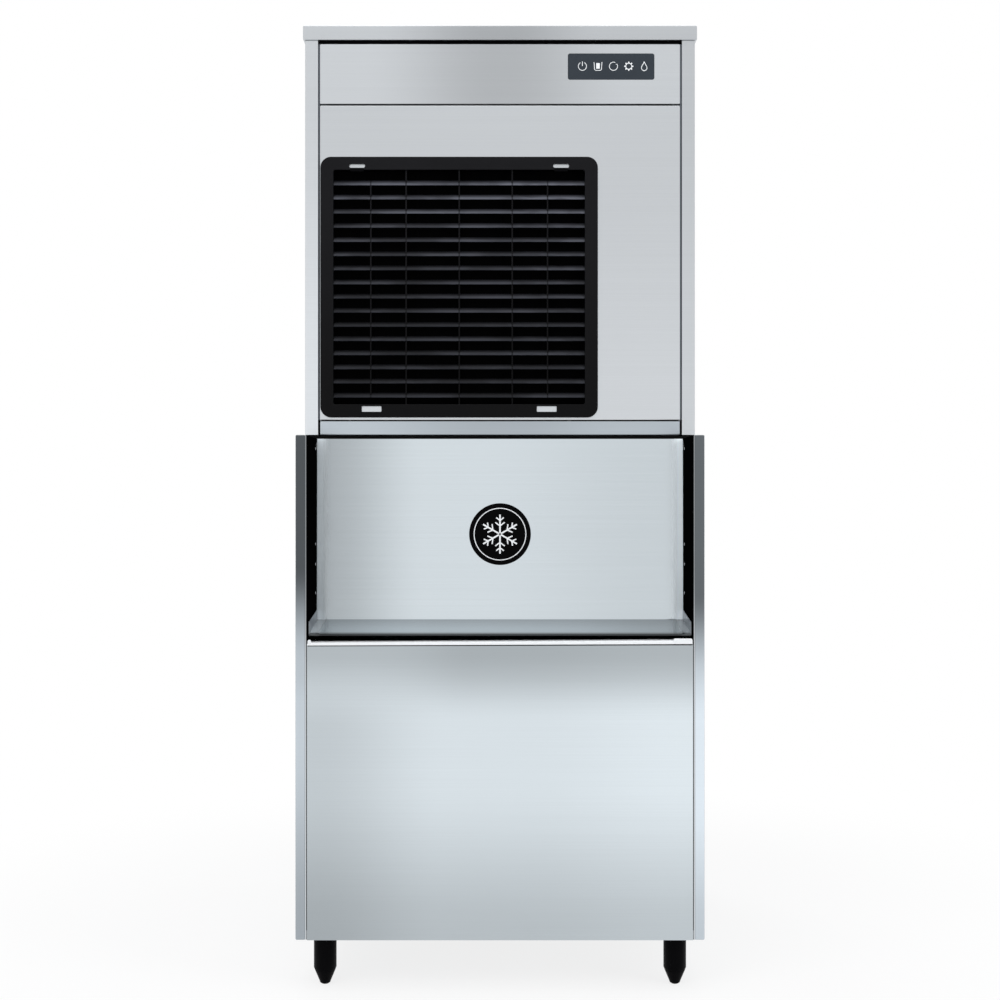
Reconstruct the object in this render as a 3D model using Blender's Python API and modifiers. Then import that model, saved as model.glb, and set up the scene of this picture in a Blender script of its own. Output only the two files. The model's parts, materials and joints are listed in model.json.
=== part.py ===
"""Granular ice machine: an ice-making head standing on an insulated storage bin.

Metres, +Z up. The front faces -Y, and the origin lies on the floor under the middle of the bin.
"""

import math

import bmesh
import bpy
from mathutils import Matrix, Vector

# Whole machine
WIDTH = 0.760
CLEAR = 0.0003
SHEET = 0.0012
BEND = 0.0025

# Bin
BIN_DEPTH = 0.800
BIN_HEIGHT = 0.938
LEG_HEIGHT = 0.095
SIDE_THICK = 0.0185
SIDE_LIP = 0.012
BAY_GAP = 0.0033
LEDGE_REACH = 0.035
LEDGE_CHAMFER = 0.0045
TROUGH_DROP = 0.015
TROUGH_WALL = 0.003
REAR_INSET = 0.015
BASE_WALL = 0.018
DECK_WALL = 0.018
TRIM_THICK = 0.002
LINER_WALL = 0.003
FOAM_SIDE = 0.036
FOAM_FRONT = 0.050
FOAM_REAR = 0.040
FOAM_FLOOR = 0.037
FLOOR_FALL = 0.008
DRAIN_RADIUS = 0.0105
DRAIN_WALL = 0.002

# Lid
LID_HEIGHT = 0.3523
LID_TOP_GAP = 0.0013
LID_SIDE_GAP = 0.0045
LID_RETURN = 0.020
LID_THICK = 0.026
LIP_FRONT_GAP = 0.015
LIP_DROP = 0.0174
LIP_HEM = 0.004
FINGER_GAP = 0.016
GASKET_THICK = 0.004
GASKET_WIDTH = 0.010
PIVOT_DROP = 0.0137
PIVOT_BACK = 0.013
PIVOT_RADIUS = 0.005
PIVOT_SHOULDER = 0.008
BADGE_RADIUS = 0.0602
BADGE_DROP = 0.1862
BADGE_THICK = 0.0015
THROAT_THICK = 0.012
MOUTH_SIDE = 0.0395
MOUTH_BOTTOM = 0.0156
MOUTH_TOP = 0.0467

# Legs and feet
LEG_INSET = 0.050
LEG_RADIUS = 0.0213
STEM_RADIUS = 0.008
STEM_LENGTH = 0.058
FOOT_HEIGHT = 0.0265
FOOT_NECK_RADIUS = 0.0105
FOOT_NECK_HEIGHT = 0.0057
FOOT_PAD_RADIUS = 0.006

# Head casing
HEAD_SET_BACK = 0.140
HEAD_REAR_GAP = 0.015
HEAD_HEIGHT = 0.768
HEAD_GASKET = 0.006
HEAD_GASKET_WIDTH = 0.040
CAP_HEIGHT = 0.029
CAP_OVERHANG = 0.0038
CAP_LIP = 0.012
FLANGE = 0.026
PANEL_SET_BACK = 0.002
PANEL_DEPTH = 0.0155
STEP_LIP = 0.016
SEAM = 0.0024
RAIL_HEIGHT = 0.0263
FASCIA_HEIGHT = 0.1176
FASCIA_TOP_GAP = 0.0054
REAR_FLANGE_LAP = 0.020

# Control window
WINDOW_WIDTH = 0.1683
WINDOW_HEIGHT = 0.0507
WINDOW_RIGHT = 0.0508
WINDOW_DROP = 0.0446
WINDOW_THICK = 0.003
MODULE_DEPTH = 0.022

# Grille
GRILLE_LEFT = 0.0018
GRILLE_RIGHT = 0.161
GRILLE_TOP = 0.1012
GRILLE_BOTTOM = 0.0051
GRILLE_BORDER = 0.0255
GRILLE_CORNER = 0.021
GRILLE_PROUD = 0.005
COLLAR_WALL = 0.0025
COLLAR_DEPTH = 0.018
SLAT_PITCH = 0.02758
SLAT_CHORD = 0.0118
SLAT_THICK = 0.0020
SLAT_TILT = math.radians(55)
SLAT_TOP = 0.0248
SLAT_BOTTOM = 0.012
BAR_WIDTH = 0.0026
BAR_DEPTH = 0.008
BAR_SHARE = 0.2115
OUTER_BAR_SHARE = 0.3523
TOP_SLOT = (0.031, 0.0078)
BOTTOM_SLOT = (0.0386, 0.0110)
TOP_SLOT_SHARE = 0.3677
BOTTOM_SLOT_SHARE = 0.3159
TOP_SLOT_DROP = 0.0175
BOTTOM_SLOT_RISE = 0.0165
FILTER_THICK = 0.005
FILTER_CELL = 0.080
FILTER_RIB = 0.005

# Rear of the head
VENT_WIDTH = 0.110
VENT_HEIGHT = 0.010
VENT_PITCH = 0.030
VENT_ROWS = 9
VENT_COLUMNS = 2
VENT_DROP = 0.090
INLET_RADIUS = 0.0132
INLET_RISE = 0.060
GLAND_RADIUS = 0.011
GLAND_SPACING = 0.100

# Refrigeration
CONDENSER_GAP = 0.020
CONDENSER_DEPTH = 0.050
CONDENSER_MARGIN = 0.026
FIN_PITCH = 0.024
FIN_WEB = 0.014
FIN_THICK = 0.004
FAN_RADIUS = 0.115
FAN_TIP_GAP = 0.006
FAN_DEPTH = 0.030
FAN_BLADES = 5
SHROUD_THICK = 0.002
MOTOR_RADIUS = 0.045
MOTOR_LENGTH = 0.060
MOTOR_GAP = 0.010
BRACKET_SPAN = 0.270
COMPRESSOR_RADIUS = 0.090
COMPRESSOR_HEIGHT = 0.215
COMPRESSOR_SIDE = 0.190
COMPRESSOR_REAR = 0.160
COMPRESSOR_PLATE = 0.105
PLATE_THICK = 0.004
MOUNT_RADIUS = 0.014
MOUNT_HEIGHT = 0.018
MOUNT_INSET = 0.018
LINE_RADIUS = 0.006
LINE_RISE = 0.160
LINE_WALL_GAP = 0.039
LINE_SPACING = 0.040
LINE_BEND = 0.020

# Ice making
EVAPORATOR_SIDE = 0.150
EVAPORATOR_REAR = 0.300
GEARBOX_RADIUS = 0.060
GEARBOX_HEIGHT = 0.120
DRIVE_RADIUS = 0.042
DRIVE_LENGTH = 0.130
DRIVE_RISE = 0.050
BARREL_HEIGHT = 0.330
BARREL_RADIUS = 0.052
BARREL_FLANGE = 0.0615
BARREL_FLANGE_THICK = 0.012
BARREL_WALL = 0.014
COIL_TURNS = 6
COIL_BULGE = 0.0035
LINE_ON_TURN = 2
AUGER_GAP = 0.001
AUGER_CORE = 0.020
AUGER_TURNS = 3
FLIGHT_THICK = 0.005
SHAFT_RADIUS = 0.012
SHAFT_SOCKET = 0.030
BREAKER_RADIUS = 0.062
BREAKER_HEIGHT = 0.080
BREAKER_WALL = 0.004
CHUTE_WIDTH = 0.090
CHUTE_DEPTH = 0.070
CHUTE_WALL = 0.0025
CHUTE_BELOW = 0.010
CHUTE_GAP = 0.003
SPOUT_WIDTH = 0.050

# Water and electrics
TANK_SIDE = 0.190
TANK_WIDTH = 0.090
TANK_DEPTH = 0.120
TANK_HEIGHT = 0.095
TANK_WALL = 0.003
FLOAT_RADIUS = 0.018
FLOAT_HEIGHT = 0.026
FLOAT_REACH = 0.068
FLOAT_DROP = 0.020
HOSE_RADIUS = 0.007
HOSE_OUT = 0.050
FEED_RISE = 0.060
BOX_THICK = 0.050
BOX_LENGTH = 0.200
BOX_HEIGHT = 0.250
BOX_REAR = 0.035
BOX_RISE = 0.310

PARTS = "granular_ice_machine"
CUTTERS = "cutters"
FINISHES = {
    "stainless": ((0.62, 0.64, 0.66), 0.30, 1.0),
    "galvanised": ((0.50, 0.52, 0.53), 0.45, 1.0),
    "black_plastic": ((0.012, 0.012, 0.014), 0.42, 0.0),
    "control_film": ((0.045, 0.056, 0.070), 0.25, 0.0),
    "badge_black": ((0.008, 0.008, 0.009), 0.30, 0.0),
    "white_plastic": ((0.78, 0.80, 0.81), 0.40, 0.0),
    "foam": ((0.80, 0.73, 0.52), 0.90, 0.0),
    "rubber": ((0.020, 0.020, 0.021), 0.75, 0.0),
    "aluminium": ((0.72, 0.73, 0.74), 0.40, 1.0),
    "copper": ((0.72, 0.33, 0.19), 0.30, 1.0),
    "black_enamel": ((0.015, 0.015, 0.016), 0.35, 0.0),
    "brass": ((0.70, 0.54, 0.25), 0.30, 1.0),
    "grey_plastic": ((0.35, 0.37, 0.38), 0.45, 0.0),
}

# Places worked out from the sizes
HALF = WIDTH / 2
BIN_FRONT = -BIN_DEPTH / 2
BIN_REAR = BIN_DEPTH / 2
BIN_TOP = LEG_HEIGHT + BIN_HEIGHT
SIDE_IN = HALF - SIDE_THICK
BAY_HALF = SIDE_IN - BAY_GAP
FIT_HALF = SIDE_IN - CLEAR
TRIM_IN = FIT_HALF - TRIM_THICK
BIN_BACK = BIN_REAR - REAR_INSET
HEAD_FRONT = BIN_FRONT + HEAD_SET_BACK
HEAD_REAR = BIN_REAR - HEAD_REAR_GAP
HEAD_BOTTOM = BIN_TOP + HEAD_GASKET
HEAD_TOP = HEAD_BOTTOM + HEAD_HEIGHT
FACE = HEAD_FRONT + PANEL_SET_BACK
LID_TOP = BIN_TOP - LID_TOP_GAP
LID_BOTTOM = LID_TOP - LID_HEIGHT
LID_HALF = SIDE_IN - LID_SIDE_GAP
LIP_TIP_Y = BIN_FRONT + LIP_FRONT_GAP
LIP_TIP_Z = LID_BOTTOM - LIP_DROP
LEDGE_Z = LIP_TIP_Z - FINGER_GAP
PIVOT = Vector((0, FACE + PIVOT_BACK, LID_TOP - PIVOT_DROP))
THROAT_FRONT = FACE + LID_THICK + GASKET_THICK
THROAT_BACK = THROAT_FRONT + THROAT_THICK
THROAT_Z = LEDGE_Z + CLEAR
THROAT_TOP = LID_TOP - MOUTH_TOP / 2
MOUTH_HALF = SIDE_IN - MOUTH_SIDE
MOUTH_LOW = LID_BOTTOM + MOUTH_BOTTOM
MOUTH_HIGH = LID_TOP - MOUTH_TOP
DECK_FRONT = THROAT_BACK + 0.002
DECK_LOW = BIN_TOP - DECK_WALL
REAR_FACE_IN = BIN_BACK - SHEET - CLEAR
BASE_TOP = LEG_HEIGHT + BASE_WALL
LINER_HALF = FIT_HALF - FOAM_SIDE
LINER_FLOOR = BASE_TOP + FOAM_FLOOR
LINER_TOP = DECK_LOW - CLEAR
LINER_FRONT = BIN_FRONT + FOAM_FRONT
LINER_REAR = BIN_BACK - FOAM_REAR
NECK_Z = LEDGE_Z - TROUGH_DROP - 0.003
SHOULDER_Z = NECK_Z - 0.058
FLOOR_Z = HEAD_BOTTOM + SHEET + CLEAR
PANEL_HALF = HALF - FLANGE - SEAM
STEP_Y = FACE + PANEL_DEPTH + CLEAR
RAIL_TOP = HEAD_BOTTOM + RAIL_HEIGHT
PANEL_LOW = RAIL_TOP + SEAM
FASCIA_TOP = HEAD_TOP - FASCIA_TOP_GAP
FASCIA_LOW = FASCIA_TOP - FASCIA_HEIGHT
PANEL_TOP = FASCIA_LOW - SEAM
REAR_PLATE = HEAD_REAR - SHEET - CLEAR
HEAD_IN_REAR = REAR_PLATE - SHEET - CLEAR
WINDOW_X = PANEL_HALF - WINDOW_RIGHT - WINDOW_WIDTH / 2
WINDOW_Z = FASCIA_TOP - WINDOW_DROP
GRILLE = (-PANEL_HALF + GRILLE_LEFT, PANEL_LOW + GRILLE_BOTTOM, PANEL_HALF - GRILLE_RIGHT, PANEL_TOP - GRILLE_TOP)
OPENING = (GRILLE[0] + GRILLE_BORDER, GRILLE[1] + GRILLE_BORDER, GRILLE[2] - GRILLE_BORDER, GRILLE[3] - GRILLE_BORDER)
OPENING_CORNER = 0.004
COLLAR_REAR = FACE + COLLAR_DEPTH - 0.004
FILTER_FRONT = COLLAR_REAR + CLEAR
CONDENSER_FRONT = FILTER_FRONT + FILTER_THICK + CONDENSER_GAP
CONDENSER_REAR = CONDENSER_FRONT + CONDENSER_DEPTH
CONDENSER_X = (OPENING[0] + CONDENSER_MARGIN, OPENING[2] - CONDENSER_MARGIN)
CONDENSER_Z = (OPENING[1], OPENING[3])
FAN_X = sum(CONDENSER_X) / 2
FAN_Z = sum(CONDENSER_Z) / 2
SHROUD_REAR = CONDENSER_REAR + CLEAR + SHROUD_THICK
FAN_Y = SHROUD_REAR + FAN_DEPTH / 2
MOTOR_FRONT = SHROUD_REAR + FAN_DEPTH + MOTOR_GAP
COMPRESSOR_AT = Vector((-HALF + COMPRESSOR_SIDE, HEAD_REAR - COMPRESSOR_REAR, FLOOR_Z + MOUNT_HEIGHT + CLEAR))
EVAPORATOR = Vector((HALF - EVAPORATOR_SIDE, HEAD_REAR - EVAPORATOR_REAR, FLOOR_Z))
BARREL_LOW = FLOOR_Z + GEARBOX_HEIGHT + CLEAR
BARREL_TOP = BARREL_LOW + BARREL_HEIGHT
BORE = BARREL_RADIUS - BARREL_WALL
COIL_PITCH = (BARREL_HEIGHT - 2 * BARREL_FLANGE_THICK) / COIL_TURNS
BREAKER_LOW = BARREL_TOP + CLEAR
BREAKER_TOP = BREAKER_LOW + BREAKER_HEIGHT
CHUTE_BACK = EVAPORATOR.y - BREAKER_RADIUS - CLEAR
CHUTE_FRONT = CHUTE_BACK - CHUTE_DEPTH
CHUTE_LOW = DECK_LOW - CHUTE_BELOW
TANK = Vector((EVAPORATOR.x - TANK_SIDE, EVAPORATOR.y, BARREL_TOP - TANK_HEIGHT))
GLAND_X = TANK.x + GLAND_SPACING
AXIS_TURN = {"x": (0, math.pi / 2, 0), "-y": (math.pi / 2, 0, 0), "y": (-math.pi / 2, 0, 0), "z": (0, 0, 0)}


def clear_scene():
    for obj in list(bpy.data.objects):
        bpy.data.objects.remove(obj, do_unlink=True)
    for name in (PARTS, CUTTERS):
        group = bpy.data.collections.new(name)
        bpy.context.scene.collection.children.link(group)
        group.hide_render = name == CUTTERS


def make(name, mesh, finish):
    """Links an object: a part with its own material, or a helper where finish is None."""
    obj = bpy.data.objects.new(name, mesh)
    bpy.data.collections[PARTS if finish else CUTTERS].objects.link(obj)
    if not finish:
        obj.hide_render = True
        obj.display_type = "WIRE"
        return obj
    colour, roughness, metallic = FINISHES[finish]
    material = bpy.data.materials.new(f"{name}_{finish}")
    material.use_nodes = True
    shader = material.node_tree.nodes["Principled BSDF"]
    shader.inputs["Base Color"].default_value = (*colour, 1)
    shader.inputs["Roughness"].default_value = roughness
    shader.inputs["Metallic"].default_value = metallic
    mesh.materials.append(material)
    return obj


def mesh_from(shape, name):
    mesh = bpy.data.meshes.new(name)
    shape.to_mesh(mesh)
    shape.free()
    return mesh


def add_bevel(obj, width, segments=2):
    bevel = obj.modifiers.new("Rounding", "BEVEL")
    bevel.width = width
    bevel.segments = segments
    bevel.limit_method = "ANGLE"
    bevel.angle_limit = math.radians(20)
    return obj


def add_wall(obj, thickness, offset=-1):
    wall = obj.modifiers.new("Wall", "SOLIDIFY")
    wall.thickness = thickness
    wall.offset = offset
    wall.use_even_offset = True
    return obj


def combine(obj, tool, operation="DIFFERENCE", solver="EXACT"):
    boolean = obj.modifiers.new(tool.name, "BOOLEAN")
    boolean.object = tool
    boolean.operation = operation
    boolean.solver = solver
    return obj


def box(name, low, high, finish, bevel=0.0):
    low, high = Vector(low), Vector(high)
    shape = bmesh.new()
    bmesh.ops.create_cube(shape, size=1.0)
    bmesh.ops.scale(shape, vec=high - low, verts=shape.verts)
    obj = make(name, mesh_from(shape, name), finish)
    obj.location = (low + high) / 2
    return add_bevel(obj, bevel) if bevel else obj


def tray(name, low, high, open_to, finish, sheet=SHEET, lip=0.0, bend=BEND):
    """A sheet box with one open side, whose rim may turn inwards by a lip."""
    obj = box(name, low, high, finish)
    shape = bmesh.new()
    shape.from_mesh(obj.data)
    mouth = max(shape.faces, key=lambda face: face.normal.dot(Vector(open_to)))
    if lip:
        bmesh.ops.inset_region(shape, faces=[mouth], thickness=lip, use_even_offset=True)
    bmesh.ops.delete(shape, geom=[mouth], context="FACES")
    shape.to_mesh(obj.data)
    shape.free()
    add_bevel(obj, bend)
    return add_wall(obj, sheet)


def on_axis(axis, u, v, w):
    return {"x": (w, u, v), "y": (u, w, v), "z": (u, v, w)}[axis]


def folded(name, section, axis, start, stop, finish, side=-1, sheet=SHEET, bend=BEND):
    """A sheet folded along a section, as long as start to stop."""
    shape = bmesh.new()
    points = [shape.verts.new(on_axis(axis, u, v, start)) for u, v in section]
    edges = [shape.edges.new(pair) for pair in zip(points, points[1:])]
    swept = bmesh.ops.extrude_edge_only(shape, edges=edges)["geom"]
    moved = [item for item in swept if isinstance(item, bmesh.types.BMVert)]
    bmesh.ops.translate(shape, verts=moved, vec=on_axis(axis, 0, 0, stop - start))
    obj = make(name, mesh_from(shape, name), finish)
    add_bevel(obj, bend)
    return add_wall(obj, sheet, side)


def meshed(name, data, matrix, finish):
    """Makes a curve into a mesh object whose caps are welded on."""
    guide = bpy.data.objects.new(f"{name}_outline", data)
    bpy.context.scene.collection.objects.link(guide)
    graph = bpy.context.evaluated_depsgraph_get()
    mesh = bpy.data.meshes.new_from_object(guide.evaluated_get(graph))
    mesh.materials.clear()
    shape = bmesh.new()
    shape.from_mesh(mesh)
    bmesh.ops.remove_doubles(shape, verts=shape.verts, dist=1e-6)
    shape.to_mesh(mesh)
    shape.free()
    bpy.data.objects.remove(guide, do_unlink=True)
    obj = make(name, mesh, finish)
    obj.matrix_world = matrix
    return obj


def plate(name, loops, axis, start, stop, finish):
    """A flat piece with the outline loops[0] and the holes loops[1:], from start to stop along an axis."""
    data = bpy.data.curves.new(name, "CURVE")
    data.dimensions = "2D"
    data.fill_mode = "BOTH"
    data.extrude = (stop - start) / 2
    for loop in loops:
        spline = data.splines.new("POLY")
        spline.points.add(len(loop) - 1)
        for point, (u, v) in zip(spline.points, loop):
            point.co = (u, v, 0, 1)
        spline.use_cyclic_u = True
    columns = [Vector(on_axis(axis, 1, 0, 0)), Vector(on_axis(axis, 0, 1, 0))]
    columns.append(columns[0].cross(columns[1]))
    turn = Matrix(columns).transposed().to_4x4()
    middle = on_axis(axis, 0, 0, (start + stop) / 2)
    return meshed(name, data, Matrix.Translation(middle) @ turn, finish)


def rectangle(x0, z0, x1, z1, corner=0.0, steps=3):
    if not corner:
        return [(x0, z0), (x1, z0), (x1, z1), (x0, z1)]
    centres = ((x1 - corner, z0 + corner), (x1 - corner, z1 - corner), (x0 + corner, z1 - corner), (x0 + corner, z0 + corner))
    points = []
    for quarter, (cx, cz) in enumerate(centres):
        for step in range(steps + 1):
            angle = math.pi / 2 * (quarter - 1 + step / steps)
            points.append((cx + corner * math.cos(angle), cz + corner * math.sin(angle)))
    return points


def around(cx, cz, width, height, corner=0.0, steps=3):
    return rectangle(cx - width / 2, cz - height / 2, cx + width / 2, cz + height / 2, corner, steps)


def circle(cx, cz, radius, steps=24):
    turns = [2 * math.pi * step / steps for step in range(steps)]
    return [(cx + radius * math.cos(turn), cz + radius * math.sin(turn)) for turn in turns]


def turned(name, profile, finish, at=(0, 0, 0), axis="z", steps=24):
    """A turned piece. The profile runs down its outer side, and comes back up a bore where it has one."""
    shape = bmesh.new()
    points = [shape.verts.new((radius, 0, height)) for radius, height in profile]
    for pair in zip(points, points[1:]):
        shape.edges.new(pair)
    if profile[0][0] > 0:
        shape.edges.new((points[-1], points[0]))
    obj = make(name, mesh_from(shape, name), finish)
    turn = obj.modifiers.new("Turn", "SCREW")
    turn.steps = steps
    turn.render_steps = steps
    turn.use_merge_vertices = True
    turn.merge_threshold = 0.00001
    turn.use_smooth_shade = True
    obj.rotation_euler = AXIS_TURN[axis]
    obj.location = at
    return obj


def cylinder(name, radius, length, finish, at=(0, 0, 0), axis="z", steps=24):
    return turned(name, [(0, length), (radius, length), (radius, 0), (0, 0)], finish, at, axis, steps)


def rounded(route, corner, steps=4):
    """The route's points, each inner one eased into a bend."""
    route = [Vector(point) for point in route]
    points = [route[0]]
    for before, here, after in zip(route, route[1:], route[2:]):
        start = here + (before - here).normalized() * corner
        end = here + (after - here).normalized() * corner
        for step in range(steps + 1):
            t = step / steps
            points.append(start * (1 - t) ** 2 + here * (2 * t * (1 - t)) + end * t**2)
    return points + [route[-1]]


def pipe(name, route, radius, finish, corner=0.028):
    data = bpy.data.curves.new(name, "CURVE")
    data.dimensions = "3D"
    data.bevel_depth = radius
    data.bevel_resolution = 2
    data.use_fill_caps = True
    points = rounded(route, corner)
    spline = data.splines.new("POLY")
    spline.points.add(len(points) - 1)
    for point, place in zip(spline.points, points):
        point.co = (*place, 1)
    return meshed(name, data, Matrix.Identity(4), finish)


def hang_on(name, place, pieces):
    """Parents pieces to an empty on their joint's axis."""
    empty = bpy.data.objects.new(name, None)
    bpy.data.collections[PARTS].objects.link(empty)
    empty.location = place
    for piece in pieces:
        piece.parent = empty
        piece.matrix_parent_inverse = Matrix.Translation(place).inverted()


def bin_sides():
    for side, name in ((-1, "left"), (1, "right")):
        low, high = sorted((side * SIDE_IN, side * HALF))
        tray(
            f"bin_{name}_side",
            (low, BIN_FRONT, LEG_HEIGHT),
            (high, BIN_REAR, BIN_TOP),
            (-side, 0, 0),
            "stainless",
            lip=SIDE_LIP,
        )
        inner, outer = sorted((side * TRIM_IN, side * FIT_HALF))
        outline = rectangle(BIN_FRONT + 0.0015, LEDGE_Z - 0.045, THROAT_BACK - 0.001, BIN_TOP - 0.002)
        hole = circle(PIVOT.y, PIVOT.z, PIVOT_RADIUS + CLEAR, 16)
        plate(f"recess_trim_{name}", [outline, hole], "x", inner, outer, "black_plastic")


def bin_shell():
    section = [
        (BIN_FRONT, LEG_HEIGHT),
        (BIN_FRONT, LEDGE_Z - LEDGE_CHAMFER),
        (BIN_FRONT + LEDGE_CHAMFER, LEDGE_Z),
        (BIN_FRONT + LEDGE_REACH, LEDGE_Z),
        (BIN_FRONT + LEDGE_REACH + TROUGH_WALL, LEDGE_Z - TROUGH_DROP),
        (THROAT_FRONT - CLEAR, LEDGE_Z),
    ]
    folded("bin_front_panel", section, "x", -BAY_HALF, BAY_HALF, "stainless", side=-1)
    drain = circle(0, LINER_FLOOR + 0.020, DRAIN_RADIUS + CLEAR)
    outline = rectangle(-FIT_HALF, LEG_HEIGHT, FIT_HALF, BIN_TOP)
    plate("bin_rear_panel", [outline, drain], "y", BIN_BACK - SHEET, BIN_BACK, "galvanised")
    tray(
        "bin_base_pan",
        (-FIT_HALF, BIN_FRONT + SHEET + CLEAR, LEG_HEIGHT),
        (FIT_HALF, REAR_FACE_IN, BASE_TOP),
        (0, 0, 1),
        "galvanised",
    )
    deck = tray(
        "bin_top_deck",
        (-FIT_HALF, DECK_FRONT, DECK_LOW),
        (FIT_HALF, REAR_FACE_IN, BIN_TOP),
        (0, 0, -1),
        "galvanised",
    )
    combine(deck, chute_cutter("deck_mouth", DECK_LOW - 0.01, BIN_TOP + 0.01))


def chute_cutter(name, low, high):
    """The passage that the ice chute takes through a sheet, with its gap all round."""
    reach = CHUTE_WIDTH / 2 + CHUTE_GAP
    return box(
        name,
        (EVAPORATOR.x - reach, CHUTE_FRONT - CHUTE_GAP, low),
        (EVAPORATOR.x + reach, CHUTE_BACK + CHUTE_GAP, high),
        None,
    )


def liner_section(grow):
    return [
        (LINER_FRONT - grow, LINER_FLOOR + FLOOR_FALL - grow),
        (LINER_REAR + grow, LINER_FLOOR - grow),
        (LINER_REAR + grow, LINER_TOP + grow),
        (THROAT_BACK + CLEAR - grow, LINER_TOP + grow),
        (THROAT_BACK + CLEAR - grow, NECK_Z + grow),
        (LINER_FRONT - grow, SHOULDER_Z + grow),
    ]


def bin_inside():
    liner = plate("bin_liner", [liner_section(0)], "x", -LINER_HALF, LINER_HALF, "white_plastic")
    shape = bmesh.new()
    shape.from_mesh(liner.data)
    top = max(vert.co.y for vert in shape.verts)
    lid_faces = [face for face in shape.faces if all(vert.co.y > top - 1e-5 for vert in face.verts)]
    bmesh.ops.delete(shape, geom=lid_faces, context="FACES")
    shape.to_mesh(liner.data)
    shape.free()
    add_wall(liner, LINER_WALL)
    mouth = box(
        "liner_mouth",
        (-MOUTH_HALF, THROAT_BACK - 0.01, MOUTH_LOW),
        (MOUTH_HALF, THROAT_BACK + 0.02, MOUTH_HIGH),
        None,
    )
    combine(liner, mouth)
    drain_at = (0, LINER_REAR - 0.02, LINER_FLOOR + 0.020)
    drain_hole = cylinder("drain_hole", DRAIN_RADIUS + CLEAR, 0.02 + FOAM_REAR + 0.01, None, drain_at, "y")
    combine(liner, drain_hole)

    foam_front = BIN_FRONT + SHEET + CLEAR
    foam_low = LEDGE_Z - 0.030
    section = [
        (foam_front, BASE_TOP + CLEAR),
        (REAR_FACE_IN, BASE_TOP + CLEAR),
        (REAR_FACE_IN, LINER_TOP),
        (THROAT_BACK + CLEAR, LINER_TOP),
        (THROAT_BACK + CLEAR, LEDGE_Z - 0.004),
        (THROAT_FRONT, LEDGE_Z - 0.004),
        (BIN_FRONT + LEDGE_REACH, foam_low),
        (foam_front, foam_low),
    ]
    foam = plate("bin_insulation", [section], "x", -BAY_HALF, BAY_HALF, "foam")
    grow = CLEAR
    reach = LINER_HALF + grow
    cavity_section = liner_section(grow)
    cavity_section[2] = (cavity_section[2][0], LINER_TOP + 0.05)
    cavity_section[3] = (cavity_section[3][0] - 0.05, LINER_TOP + 0.05)
    cavity_section[4] = (cavity_section[4][0] - 0.05, LEDGE_Z - 0.006)
    cavity_section.insert(5, (THROAT_BACK, LEDGE_Z - 0.006))
    cavity = plate("foam_cavity", [cavity_section], "x", -reach, reach, None)
    combine(foam, cavity)
    combine(foam, drain_hole)

    throat = rectangle(-TRIM_IN + CLEAR, THROAT_Z, TRIM_IN - CLEAR, THROAT_TOP)
    opening = rectangle(-MOUTH_HALF, MOUTH_LOW, MOUTH_HALF, MOUTH_HIGH, 0.012)
    plate("throat_frame", [throat, opening], "y", THROAT_FRONT, THROAT_BACK, "black_plastic")

    bore = DRAIN_RADIUS - DRAIN_WALL
    length = BIN_REAR - 0.0005 - (LINER_REAR - LINER_WALL - 0.0015)
    shoulder = DRAIN_RADIUS + 0.006
    flange = 0.0015 - CLEAR
    profile = [(DRAIN_RADIUS, length), (DRAIN_RADIUS, flange), (shoulder, flange), (shoulder, 0), (bore, 0), (bore, length)]
    at = (0, LINER_REAR - LINER_WALL - 0.0015, LINER_FLOOR + 0.020)
    turned("drain_outlet", profile, "white_plastic", at, "y", 20)


def legs_and_feet():
    bore = STEM_RADIUS + CLEAR
    leg = [(LEG_RADIUS, LEG_HEIGHT - CLEAR), (LEG_RADIUS, FOOT_HEIGHT + CLEAR), (bore, FOOT_HEIGHT + CLEAR), (bore, LEG_HEIGHT - CLEAR)]
    stem_top = FOOT_HEIGHT + STEM_LENGTH
    foot = [
        (0, stem_top),
        (STEM_RADIUS, stem_top),
        (STEM_RADIUS, FOOT_HEIGHT),
        (LEG_RADIUS, FOOT_HEIGHT),
        (FOOT_NECK_RADIUS, FOOT_NECK_HEIGHT),
        (FOOT_NECK_RADIUS - 0.0015, FOOT_NECK_HEIGHT * 0.35),
        (FOOT_PAD_RADIUS, 0),
        (0, 0),
    ]
    for x_side, x_name in ((-1, "left"), (1, "right")):
        for y_side, y_name in ((-1, "front"), (1, "rear")):
            at = (x_side * (HALF - LEG_INSET), y_side * (BIN_DEPTH / 2 - LEG_INSET), 0)
            turned(f"leg_{y_name}_{x_name}", leg, "black_plastic", at, "z", 18)
            turned(f"foot_{y_name}_{x_name}", foot, "black_plastic", at, "z", 18)


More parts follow.
